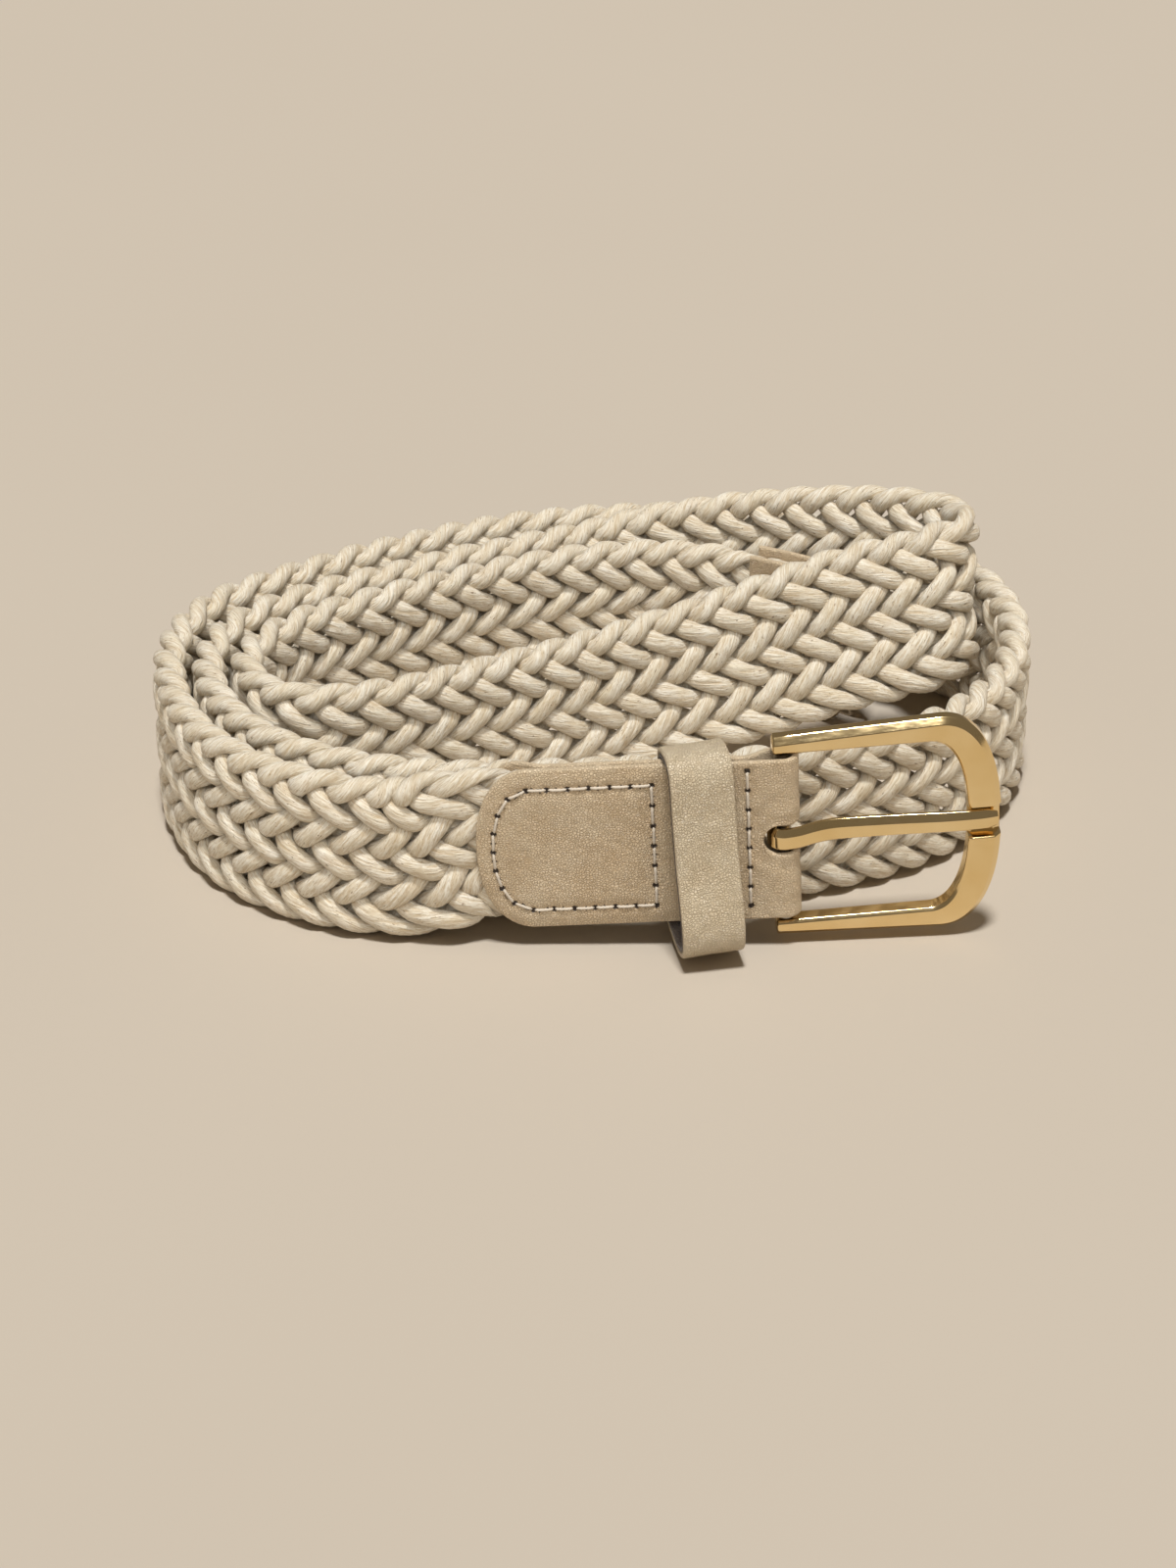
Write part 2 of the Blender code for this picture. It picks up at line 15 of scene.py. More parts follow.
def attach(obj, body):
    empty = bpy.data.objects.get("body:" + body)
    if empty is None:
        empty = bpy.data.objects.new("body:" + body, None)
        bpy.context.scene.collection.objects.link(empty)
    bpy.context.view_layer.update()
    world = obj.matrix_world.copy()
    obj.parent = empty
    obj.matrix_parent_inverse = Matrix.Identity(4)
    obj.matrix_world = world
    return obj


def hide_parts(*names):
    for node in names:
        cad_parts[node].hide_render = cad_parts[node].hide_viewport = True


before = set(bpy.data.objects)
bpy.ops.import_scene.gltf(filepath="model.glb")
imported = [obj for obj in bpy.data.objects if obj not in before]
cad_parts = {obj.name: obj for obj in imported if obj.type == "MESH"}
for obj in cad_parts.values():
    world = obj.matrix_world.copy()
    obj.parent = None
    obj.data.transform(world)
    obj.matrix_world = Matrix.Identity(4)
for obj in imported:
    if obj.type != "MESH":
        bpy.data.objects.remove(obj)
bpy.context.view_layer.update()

MM = 0.001
SEED = 11

# The camera stands in front of the buckle end, looking down on the coil.
VIEW_TARGET = (-1.4, 2.6, 0.0)
VIEW_DISTANCE = 628.0
VIEW_ELEVATION = 30.0
LENS = 80.0

# The strap and its leather ends, as in the CAD.
STRAP_WIDTH = 30.0
FULL_HALF = 3.0  # half the braid's thickness
BAR_CENTRE = (30.8, -49.4, 20.8)
END_SLOPE = 2.8
LEATHER = 1.1
TAB_HEIGHT = 30.0
TAB_LENGTH = 50.6
TAB_TIP_DEPTH = 9.4
TIP_POWER = 2.2
SLOT_HALF_HEIGHT = 2.7
SLOT_REACH = 3.4
TIP_LENGTH = 24.0
BRAID_SHORT_OF_TIP = 6.0
RAMP = 6.0
TAB_STATIONS = (-8.3, -20.0, -32.0, -43.0, -53.0)
BRAID_START = -41.0

# Inner faces of the tab's two leaves, outwards from the strap's middle. The front leaf is
# flat; the back one comes forward to meet it between the bar and the braid's end.
FRONT_FACE = 1.55
BACK_AT_BAR = -1.55
BACK_CLOSED = 0.95
BACK_AT_BRAID = -2.05
CLOSING = (-0.8, -6.6)
OPENING = (-38.5, -46.5)
TIP_FACE = 1.8
CLEARANCE = 0.3

# Route of the strap's centre line after the tab: x, y, lift of the lower edge over the
# floor, and the strap's lean in degrees, its top towards +Y.
ROUTE = [
    (-29.4, -48.9, 1.1, 0), (-41.4, -46.7, 0.3, 0), (-53.4, -40.8, 0, 0), (-64.4, -30.6, 0, 0),
    (-71.4, -17.4, 0, 0), (-74.6, -3.4, 0, 0), (-73.6, 10.6, 0, 0), (-68.9, 20.6, 0, 0),
    (-59.4, 29.0, 0, 0), (-48.4, 36.6, 0, 0), (-34.4, 44.8, 0, 0), (-17.4, 52.2, 0, 0),
    (-1.4, 56.0, 0, 0), (13.6, 57.2, 0, 0), (27.6, 56.2, 0, 0), (40.6, 52.8, 0, 0),
    (52.6, 47.2, 0, 0), (62.6, 39.6, 0, 0), (70.1, 30.6, 0, 0), (74.2, 18.6, 0, 0),
    (74.2, 5.6, 0, 0), (70.4, -7.0, 0, 0), (64.0, -17.2, 0, 0), (55.1, -25.6, 0, 0),
    (45.1, -31.2, 0, 0), (32.6, -35.6, 0, 0), (15.6, -38.8, 0, 0), (-1.4, -40.9, 0, 0),
    (-16.4, -41.5, 0, 0), (-30.4, -40.5, 0, 0), (-42.4, -37.2, 0, 0), (-53.4, -30.9, 0, 0),
    (-61.4, -21.9, 0, 0), (-66.4, -10.9, 0, 0), (-67.8, 0.6, 0, 0), (-64.4, 12.1, 0, 0),
    (-56.4, 20.4, 0, 0), (-44.4, 28.1, 0, 0), (-30.4, 35.9, 0, 0), (-15.4, 43.0, 0, 0),
    (-0.4, 47.8, 1.0, 0), (14.6, 49.4, 3.6, 3), (28.6, 46.8, 6.6, 6), (40.6, 42.4, 9.6, 9),
    (51.6, 36.8, 12.4, 12), (60.6, 30.0, 14.8, 15), (65.8, 22.6, 15.8, 17), (62.0, 16.6, 15.2, 17),
    (49.6, 13.8, 12.6, 17), (35.6, 11.2, 9.0, 14), (16.6, 6.4, 4.4, 9), (-1.4, 0.8, 1.5, 5),
    (-15.4, -4.6, 0.5, 3), (-28.4, -9.8, 0, 0), (-39.4, -14.0, 0, 0), (-49.4, -15.4, 0, 0),
    (-57.0, -11.9, 0, 0), (-60.8, -4.4, 0, 0), (-59.6, 5.2, 0, 0), (-53.4, 13.0, 0, 0),
    (-41.4, 21.2, 0, 0), (-27.4, 29.0, 0, 0), (-13.4, 35.8, 0, 0), (0.6, 40.2, 0, 0),
    (14.6, 40.9, 0, 0), (28.6, 37.0, 0, 0), (40.0, 30.9, 0, 0), (49.2, 23.4, 0, 0),
]

# The braid: each cord slopes down the front of the strap and back up, two pitches of
# every row over its neighbours and two under them.
CORDS = 12
ROWS = 6
PITCH = 6.8  # along the strap, between cords that run the same way
EDGE_ROUNDING = 0.3  # how far a cord turns back short of the edge, in rows
CORD_LIFT = 1.65
CORD_WIDE = 3.5
CORD_THICK = 2.7
EDGE_WIDE = 3.15
EDGE_THICK = 2.9
CORD_STEP = 0.85
CORD_SIDES = 14
# rows at which a cord changes side, and how gently it does so
CHANGES = [(0.0, 0.42)] + [(r + 0.75, 0.2) for r in range(5)]
CHANGES += [(6.0, 0.45)] + [(r + 0.25, 0.2) for r in range(7, 12)]

# Seams, as in the CAD: holes a stitch apart, each run between two corners of its own.
STITCHES_ACROSS = 6  # of the straight end and of each long side
STITCHES_ROUND = 8
FOLD_STITCHES = 7
SEAM_HALF_HEIGHT = 11.4
SEAM_TIP_DEPTH = 6.4
TAB_SEAM = (-21.4, -47.8)
FOLD_SEAM = (-5.8, 13.4, -12.2)
TIP_SEAM_MARGINS = (3.0, 3.2)
STITCH_LENGTH = 3.4
HOLE_RADIUS = 0.5
FAR = 9.0  # stands for no hole nearby
THREAD_RADIUS = 0.235
PLY_TURN = 1.3  # millimetres of thread for one turn of its plies


# ---------------------------------------------------------------- small helpers

def unit(vectors):
    return vectors / np.linalg.norm(vectors, axis=-1, keepdims=True)


def smooth(x, start, stop):
    t = np.clip((np.asarray(x, float) - start) / (stop - start), 0, 1)
    return t * t * (3 - 2 * t)


def ripple(x, wavelength, seed):
    """Smooth seeded noise along a line, mostly within -1 to 1."""
    rng = np.random.default_rng(SEED * 1000 + seed)
    total = np.zeros_like(np.asarray(x, float))
    for octave, size in ((1.0, 0.6), (1.83, 0.35), (3.1, 0.2)):
        turn = 2 * math.pi * octave * np.asarray(x) / wavelength
        total += size * np.sin(turn + rng.uniform(0, 2 * math.pi))
    return total


def build(name, points, faces, mat, angle=None, matrix=None):
    """A mesh object from points in millimetres."""
    mesh = bpy.data.meshes.new(name)
    points = np.asarray(points, float)
    if matrix is not None:
        turn = np.array(matrix)
        points = points @ turn[:3, :3].T + turn[:3, 3]
    mesh.from_pydata((points * MM).tolist(), [], [tuple(int(i) for i in f) for f in faces])
    work = bmesh.new()
    work.from_mesh(mesh)
    bmesh.ops.recalc_face_normals(work, faces=work.faces)
    work.to_mesh(mesh)
    work.free()
    mesh.materials.append(mat)
    mesh.shade_smooth()
    if angle is not None:
        mesh.set_sharp_from_angle(angle=math.radians(angle))
    obj = bpy.data.objects.new(name, mesh)
    bpy.context.scene.collection.objects.link(obj)
    return obj


def point_data(obj, name, values):
    """Give every vertex a vector that the material reads."""
    data = obj.data.attributes.new(name, "FLOAT_VECTOR", "POINT")
    data.data.foreach_set("vector", np.asarray(values, np.float32).ravel())


def grid_faces(rows, columns, start=0, wrap=False, flip=False):
    """Quads of a grid of points stored row by row; wrap closes each row on itself."""
    faces = []
    for r in range(rows - 1):
        for c in range(columns if wrap else columns - 1):
            d = (c + 1) % columns
            quad = (start + r * columns + c, start + r * columns + d,
                    start + (r + 1) * columns + d, start + (r + 1) * columns + c)
            faces.append(quad[::-1] if flip else quad)
    return faces


def loft(rings, closed=False):
    """Skin rings of points; the ends are capped unless the rings close up."""
    rings = np.asarray(rings, float)
    count, sides = rings.shape[:2]
    points = rings.reshape(-1, 3)
    if closed:
        faces = grid_faces(count, sides, wrap=True)
        last = (count - 1) * sides
        faces += [(last + i, last + (i + 1) % sides, (i + 1) % sides, i) for i in range(sides)]
    else:
        faces = grid_faces(count, sides, wrap=True)
        faces += [tuple(range(sides)), tuple(range(len(points) - sides, len(points)))]
    return points, faces


def cubic_spline(points):
    """A natural cubic spline through the points, as a function of plan chord length."""
    pts = np.array(points, float)
    knots = np.concatenate([[0.0], np.cumsum(np.linalg.norm(np.diff(pts[:, :2], axis=0), axis=1))])
    steps = np.diff(knots)
    count = len(pts)
    system = np.eye(count)
    right = np.zeros_like(pts)
    for i in range(1, count - 1):
        system[i, i - 1] = steps[i - 1]
        system[i, i] = 2 * (steps[i - 1] + steps[i])
        system[i, i + 1] = steps[i]
        right[i] = 3 * ((pts[i + 1] - pts[i]) / steps[i] - (pts[i] - pts[i - 1]) / steps[i - 1])
    quad = np.linalg.solve(system, right)

    def at(t):
        i = np.clip(np.searchsorted(knots, t, side="right") - 1, 0, count - 2)
        h = steps[i][:, None]
        d = (t - knots[i])[:, None]
        linear = (pts[i + 1] - pts[i]) / h - h * (2 * quad[i] + quad[i + 1]) / 3
        cube = (quad[i + 1] - quad[i]) / (3 * h)
        return pts[i] + linear * d + quad[i] * d ** 2 + cube * d ** 3

    return at, knots[-1]


def closed_curve(points, per_span):
    """Points on a closed Catmull-Rom curve through the points."""
    pts = np.array(points, float)
    out = []
    for i in range(len(pts)):
        p0, p1, p2, p3 = (pts[(i + k) % len(pts)] for k in (-1, 0, 1, 2))
        for k in range(per_span):
            t = k / per_span
            out.append(0.5 * (2 * p1 + (p2 - p0) * t + (2 * p0 - 5 * p1 + 4 * p2 - p3) * t ** 2
                              + (3 * p1 - p0 - 3 * p2 + p3) * t ** 3))
    return np.array(out)


def end_matrix():
    """Matrix in millimetres of the buckle end's frame: X along the strap, Y up, Z outwards."""
    slope = math.radians(END_SLOPE)
    along = Vector((math.cos(slope), 0, math.sin(slope)))
    up = Vector((-math.sin(slope), 0, math.cos(slope)))
    matrix = Matrix((along, up, along.cross(up))).transposed().to_4x4()
    matrix.translation = Vector(BAR_CENTRE)
    return matrix


class Strap:
    """The strap's route, sampled finely, with its outward and upward directions."""

    STEP = 0.5

    def __init__(self):
        slope = math.radians(END_SLOPE)
        start = []
        for u in TAB_STATIONS:
            x = BAR_CENTRE[0] + u * math.cos(slope)
            z = BAR_CENTRE[2] + u * math.sin(slope)
            start.append((x, BAR_CENTRE[1], z - STRAP_WIDTH / 2, 0))
        at, total = cubic_spline(start + ROUTE)
        rows = at(np.linspace(0, total, int(total / self.STEP) + 1))
        lean = np.radians(rows[:, 3])
        lift = np.maximum(rows[:, 2], 0.0)
        self.middle = np.column_stack([rows[:, 0], rows[:, 1], lift + STRAP_WIDTH / 2 * np.cos(lean)])
        along = unit(np.gradient(self.middle, axis=0))
        upright = np.column_stack([0 * lean, np.sin(lean), np.cos(lean)])
        self.out = unit(np.cross(upright, along))
        self.up = np.cross(along, self.out)
        hops = np.linalg.norm(np.diff(self.middle, axis=0), axis=1)
        self.dist = np.concatenate([[0.0], np.cumsum(hops)])
        self.length = self.dist[-1]
        tip = self.length - TIP_LENGTH
        # distances where the braid's two faces change, and where the faces are there
        first = TAB_STATIONS[0]
        at_tab = [first - u for u in (BRAID_START, OPENING[1], -TAB_LENGTH - 1.0, -TAB_LENGTH - 1.0 - RAMP)]
        self.places = at_tab + [tip - 1.0 - RAMP, tip - 1.0, self.length]
        flat = TIP_FACE - CLEARANCE
        front = FRONT_FACE - CLEARANCE
        wedge = back_face(BRAID_START) + CLEARANCE
        self.fronts = (front, front, front, FULL_HALF, FULL_HALF, flat, flat)
        back = BACK_AT_BRAID + CLEARANCE
        self.backs = (wedge, back, back, -FULL_HALF, -FULL_HALF, -flat, -flat)

    def frames(self, s):
        """Middle, up and out at each distance."""
        found = [np.column_stack([np.interp(s, self.dist, v[:, k]) for k in range(3)])
                 for v in (self.middle, self.up, self.out)]
        return found

    def points(self, s, w, n):
        middle, up, out = self.frames(np.atleast_1d(s))
        return middle + np.atleast_1d(w)[:, None] * up + np.atleast_1d(n)[:, None] * out

    def squeeze(self, s):
        """Middle of the braid's thickness, and its thickness as a share of the full one."""
        front = np.interp(s, self.places, self.fronts)
        back = np.interp(s, self.places, self.backs)
        return (front + back) / 2, (front - back) / (2 * FULL_HALF)


def back_face(u):
    """Inner face of the tab's back leaf at u."""
    closed = smooth(-np.asarray(u, float), -CLOSING[0], -CLOSING[1])
    opened = smooth(-np.asarray(u, float), -OPENING[0], -OPENING[1])
    face = BACK_AT_BAR + (BACK_CLOSED - BACK_AT_BAR) * closed
    return face + (BACK_AT_BRAID - BACK_CLOSED) * opened


# ---------------------------------------------------------------- materials

def linear(code):
    """A linear colour from a hex code."""
    parts = [int(code[i:i + 2], 16) / 255 for i in (0, 2, 4)]
    return tuple(c / 12.92 if c <= 0.04045 else ((c + 0.055) / 1.055) ** 2.4 for c in parts) + (1.0,)


class Surface:
    """A material whose nodes are added one call at a time."""

    def __init__(self, name, **settings):
        self.material = bpy.data.materials.new(name)
        self.material.use_nodes = True
        self.tree = self.material.node_tree
        self.shader = self.tree.nodes["Principled BSDF"]
        for key, value in settings.items():
            self.shader.inputs[key.replace("_", " ")].default_value = value

    def node(self, kind, output=0, settings=None, **inputs):
        made = self.tree.nodes.new("ShaderNode" + kind)
        for key, value in (settings or {}).items():
            setattr(made, key, value)
        for key, value in inputs.items():
            socket = made.inputs[int(key[1:]) if key[1:].isdigit() else key.replace("_", " ")]
            self.feed(socket, value)
        return made.outputs[output]

    def feed(self, socket, value):
        if isinstance(value, bpy.types.NodeSocket):
            self.tree.links.new(value, socket)
        else:
            socket.default_value = value

    def set(self, name, value):
        self.feed(self.shader.inputs[name], value)

    def object_mm(self, scale=(1, 1, 1)):
        """Object coordinates in millimetres, stretched."""
        where = self.node("TexCoord", output=3)
        return self.node("Mapping", Vector=where, Scale=tuple(1000 * c for c in scale))

    def data(self, name):
        return self.node("Attribute", output=1, settings={"attribute_name": name})

    def noise(self, vector, scale=1.0, detail=3.0, roughness=0.5):
        return self.node("TexNoise", Vector=vector, Scale=scale, Detail=detail, Roughness=roughness)

    def span(self, value, low, high, to_low=0.0, to_high=1.0):
        return self.node("MapRange", Value=value, From_Min=low, From_Max=high, To_Min=to_low, To_Max=to_high)

    def math(self, operation, a, b=0.0):
        return self.node("Math", settings={"operation": operation}, _0=a, _1=b)

    def mix(self, share, a, b, blend="MIX"):
        made = self.tree.nodes.new("ShaderNodeMix")
        made.data_type = "RGBA"
        made.blend_type = blend
        self.feed(made.inputs[0], share)
        self.feed(made.inputs[6], a)
        self.feed(made.inputs[7], b)
        return made.outputs[2]

    def bump(self, height, depth, strength=1.0, under=None):
        """Bump with its depth in millimetres."""
        inputs = {"Height": height, "Distance": depth * MM, "Strength": strength}
        if under is not None:
            inputs["Normal"] = under
        return self.node("Bump", **inputs)


def cord_material():
    """Waxed cotton: fine twisted fibres, soft mottling, dark flecks and a slight gloss."""
    mat = Surface("waxed_cotton", Roughness=0.5, Sheen_Weight=0.12, Sheen_Roughness=0.5)
    fibre = mat.data("fibre")
    fine = mat.noise(mat.node("Mapping", Vector=fibre, Scale=(0.55, 4.6, 4.6)), 1.0, 5.0, 0.68)
    strand = mat.noise(mat.node("Mapping", Vector=fibre, Scale=(0.16, 1.7, 1.7)), 1.0, 3.0, 0.55)
    mottle = mat.noise(mat.node("Mapping", Vector=fibre, Scale=(0.22, 0.5, 0.5)), 1.0, 3.0, 0.6)
    speck = mat.noise(mat.node("Mapping", Vector=fibre, Scale=(1.3, 3.4, 3.4)), 1.0, 2.0, 0.5)
    colour = mat.mix(mat.span(mottle, 0.3, 0.7), linear("E4D8BF"), linear("F2EBDB"))
    colour = mat.mix(mat.span(fine, 0.38, 0.56, 0.75, 0.0), colour, linear("BFA67E"))
    colour = mat.mix(mat.span(strand, 0.34, 0.5, 0.4, 0.0), colour, linear("B79C72"))
    colour = mat.mix(mat.span(speck, 0.67, 0.72, 0.0, 0.8), colour, linear("80633F"))
    mat.set("Base Color", colour)
    mat.set("Roughness", mat.span(fine, 0.3, 0.7, 0.62, 0.4))
    ridges = mat.math("ADD", mat.math("MULTIPLY", fine, 0.7), mat.math("MULTIPLY", strand, 0.9))
    mat.set("Normal", mat.bump(ridges, 0.45, 1.0))
    return mat.material


def leather_material(name, base, shade, light, gloss, seam_marks=False):
    """Smooth grained leather; seam_marks adds needle holes painted dark as the shade inside them, a darker
    ring round each hole and a painted highlight along the cut edges.
    """
    mat = Surface(name, Roughness=gloss)
    where = mat.object_mm()
    warp = mat.noise(where, 0.9, 2.0)
    wobble = mat.node("VectorMath", settings={"operation": "SCALE"}, Scale=0.35,
                      _0=mat.node("TexNoise", output=1, Vector=where, Scale=0.9, Detail=2.0))
    bent = mat.node("VectorMath", settings={"operation": "ADD"}, _0=where, _1=wobble)
    cells = mat.node("TexVoronoi", Vector=bent, Scale=2.3, settings={"feature": "DISTANCE_TO_EDGE"})
    grain = mat.span(cells, 0.0, 0.22)
    creases = mat.noise(mat.object_mm((0.5, 1.5, 0.5)), 1.0, 4.0, 0.6)
    cloud = mat.noise(where, 0.16, 4.0, 0.6)
    colour = mat.mix(mat.span(cloud, 0.3, 0.7), base, light)
    colour = mat.mix(mat.span(grain, 0.0, 1.0, 0.32, 0.0), colour, shade)
    colour = mat.mix(mat.span(creases, 0.35, 0.65, 0.22, 0.0), colour, shade)
    colour = mat.mix(mat.span(warp, 0.3, 0.7, 0.1, 0.0), colour, shade)
    height = mat.math("ADD", grain, mat.math("MULTIPLY", creases, 1.6))
    normal = mat.bump(height, 0.15, 1.0)
    if seam_marks:
        marks = mat.node("SeparateXYZ", Vector=mat.data("seam")).node.outputs
        squares = [mat.math("MULTIPLY", marks[k], marks[k]) for k in range(2)]
        reach = mat.math("SQRT", mat.math("ADD", *squares))
        rough = mat.math("ADD", reach, mat.span(mat.noise(where, 2.6, 2.0), 0.3, 0.7, -0.09, 0.09))
        hole = mat.span(rough, HOLE_RADIUS * 0.75, HOLE_RADIUS * 1.15, 1.0, 0.0)
        halo = mat.span(rough, HOLE_RADIUS, HOLE_RADIUS * 2.4, 0.4, 0.0)
        # halo darkens a ring round each needle hole; painted shade: the hole itself is coloured near black
        # for the shade inside it
        colour = mat.mix(halo, colour, shade)
        colour = mat.mix(hole, colour, linear("2A1C12"))
        # painted highlight: within half a millimetre of a cut edge the colour is lightened towards the light
        # tone
        edge = mat.span(marks[2], 0.0, 0.5, 0.35, 0.0)
        colour = mat.mix(edge, colour, light)
        normal = mat.bump(mat.math("SUBTRACT", 0.0, hole), 0.4, 1.0, normal)
    mat.set("Base Color", colour)
    mat.set("Roughness", mat.span(creases, 0.3, 0.7, gloss - 0.06, gloss + 0.08))
    mat.set("Normal", normal)
    return mat.material


def suede_material(name, dark, light):
    """Fuzzy reverse side of the leather."""
    mat = Surface(name, Roughness=0.95, Sheen_Weight=0.3)
    where = mat.object_mm()
    nap = mat.noise(where, 3.0, 5.0, 0.75)
    patches = mat.noise(where, 0.6, 3.0, 0.6)
    colour = mat.mix(mat.span(nap, 0.38, 0.66), dark, light)
    colour = mat.mix(mat.span(patches, 0.35, 0.65, 0.3, 0.0), colour, dark)
    mat.set("Base Color", colour)
    mat.set("Normal", mat.bump(nap, 0.2, 1.0))
    return mat.material


def metal_material(name, bright, deep, roughness):
    """Polished plated metal with faint wear and a slightly uneven polish."""
    mat = Surface(name, Metallic=1.0)
    where = mat.object_mm()
    drift = mat.noise(where, 0.11, 3.0, 0.5)
    scuffs = mat.noise(mat.object_mm((0.4, 2.6, 0.4)), 1.0, 4.0, 0.7)
    mat.set("Base Color", mat.mix(mat.span(drift, 0.3, 0.7), bright, deep))
    mat.set("Roughness", mat.span(scuffs, 0.35, 0.7, roughness, roughness + 0.09))
    mat.set("Normal", mat.bump(mat.noise(where, 0.35, 2.0), 0.02, 0.5))
    return mat.material


def thread_material():
    mat = Surface("waxed_thread", Roughness=0.45, Sheen_Weight=0.3)
    fibre = mat.data("fibre")
    strands = mat.noise(mat.node("Mapping", Vector=fibre, Scale=(1.4, 14.0, 14.0)), 1.0, 3.0, 0.6)
    mat.set("Base Color", mat.mix(mat.span(strands, 0.3, 0.7), linear("AE9D86"), linear("EDE3D2")))
    mat.set("Normal", mat.bump(strands, 0.06, 0.8))
    return mat.material


def floor_material():
    low, high = linear("D0C4B3"), linear("D2C6B5")
    mat = Surface("floor_paint", Roughness=0.9, Specular_IOR_Level=0.1)
    drift = mat.noise(mat.object_mm(), 0.004, 2.0)
    mat.set("Base Color", mat.mix(mat.span(drift, 0.3, 0.7), low, high))
    return mat.material


# ---------------------------------------------------------------- the braid

def side_table():
    """Where a cord is through the braid's thickness, from back to front, round one cycle."""
    spots, values = [], []
    sign = 1.0
    for place, ease in CHANGES:
        spots += [place - ease, place + ease]
        values += [-sign, sign]
        sign = -sign
    fine = np.arange(1200) / 100.0
    table = np.interp(fine, spots, values, period=12.0)
    reach = np.arange(-24, 25)
    kernel = np.exp(-(reach / 7.0) ** 2 / 2)
    kernel /= kernel.sum()
    padded = np.concatenate([table[-24:], table, table[:24]])
    return fine, np.convolve(padded, kernel, mode="valid")


SIDE_AT, SIDE_VALUE = side_table()


def rows_from_edge(q):
    """Rows below the top edge, with the turns at both edges rounded."""
    fall = np.where(q < ROWS, q, 2 * ROWS - q)
    top = np.sqrt(fall ** 2 + EDGE_ROUNDING ** 2) - fall
    rise = ROWS - fall
    bottom = np.sqrt(rise ** 2 + EDGE_ROUNDING ** 2) - rise
    return fall + top - bottom


def braid_cord(strap, index, mat):
    """One cord from the tab to the tip, as a tube with an oval section."""
    s = np.arange(strap.places[0], strap.length - BRAID_SHORT_OF_TIP, CORD_STEP)
    seed = 10 * index
    q = np.mod(s / PITCH + index + 0.03 * ripple(s, 31.0, seed), 2 * ROWS)
    row = STRAP_WIDTH / ROWS
    middle, share = strap.squeeze(s)
    w = STRAP_WIDTH / 2 - row * rows_from_edge(q) + 0.13 * ripple(s, 23.0, seed + 1)
    side = np.interp(q, SIDE_AT, SIDE_VALUE, period=2 * ROWS)
    n = (side * CORD_LIFT + 0.1 * ripple(s, 19.0, seed + 2)) * share + middle
    edge_near = np.minimum(np.minimum(q, 2 * ROWS - q), np.abs(q - ROWS))
    at_edge = 1 - smooth(edge_near, 0.1, 0.8)
    w = w * (1 - 0.05 * (1 - smooth(share, 0.3, 0.85)))

    path = strap.points(s, w, n)
    along = unit(np.gradient(path, axis=0))
    _, up, out = strap.frames(s)
    top_turn = smooth(np.where(q > ROWS, q - 2 * ROWS, q), -0.55, 0.55)
    bottom_turn = smooth(q, ROWS - 0.6, ROWS + 0.6)
    angle = np.where(np.abs(q - ROWS) < 3, math.pi * bottom_turn, math.pi * (1 - top_turn))
    facing = out * np.cos(angle)[:, None] + up * np.sin(angle)[:, None]
    facing = unit(facing - along * np.sum(facing * along, axis=1, keepdims=True))
    across = np.cross(along, facing)

    plump = 1 + 0.035 * ripple(s, 9.0, seed + 3)
    wide = (CORD_WIDE + (EDGE_WIDE - CORD_WIDE) * at_edge) / 2 * plump
    thick = (CORD_THICK + (EDGE_THICK - CORD_THICK) * at_edge) / 2 * (0.25 + 0.75 * share) / plump
    turn = np.arange(CORD_SIDES) * 2 * math.pi / CORD_SIDES
    rings = (path[:, None, :] + facing[:, None, :] * (thick[:, None] * np.cos(turn))[:, :, None]
             + across[:, None, :] * (wide[:, None] * np.sin(turn))[:, :, None])
    points, faces = loft(rings)
    obj = build(f"cord_{index + 1:02d}", points, faces, mat)

    length = np.concatenate([[0], np.cumsum(np.linalg.norm(np.diff(path, axis=0), axis=1))])
    twisted = turn[None, :] + 0.22 * length[:, None]
    radius = 1.5
    fibre = np.stack([np.broadcast_to(length[:, None] + 61.0 * index, twisted.shape),
                      radius * np.cos(twisted) + 9.0 * index, radius * np.sin(twisted)], axis=2)
    point_data(obj, "fibre", fibre.reshape(-1, 3))
    return obj


def make_braid(strap):
    mat = cord_material()
    for index in range(CORDS):
        cord = braid_cord(strap, index, mat)
        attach(cord, "strap")
        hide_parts("braided_strap")


# ---------------------------------------------------------------- leather leaves

EDGE_RADIUS = 0.42
EDGE_STEPS = (0.0, 0.04, 0.12, 0.24, 0.42, 0.75, 1.3, 2.1)
# columns of the tab's rounded end and of a tip leaf, as shares, closest together at an edge
SHARES_FROM_TIP = (0, .004, .012, .024, .042, .075, .13, .21, .32, .44, .56, .68, .8, .9)
LEAF_FIRST_SHARES = [0, .002, .005, .01, .018, .03, .055, .09]
LEAF_LAST_SHARES = [.91, .945, .97, .982, .99, .995, .998, 1.0]


def tip_recess(w, half_height, depth):
    """How far the rounded end of a leaf falls back at height w."""
    share = np.minimum(np.abs(w) / half_height, 1.0)
    return depth * (1 - (1 - share ** TIP_POWER) ** (1 / TIP_POWER))


def spaced(path, count):
    """Points that share a 2-D path out evenly, without its last one."""
    pts = np.array(path, float)
    dist = np.concatenate([[0.0], np.cumsum(np.linalg.norm(np.diff(pts, axis=0), axis=1))])
    marks = np.linspace(0, dist[-1], count + 1)[:-1]
    return np.column_stack([np.interp(marks, dist, pts[:, k]) for k in range(2)])


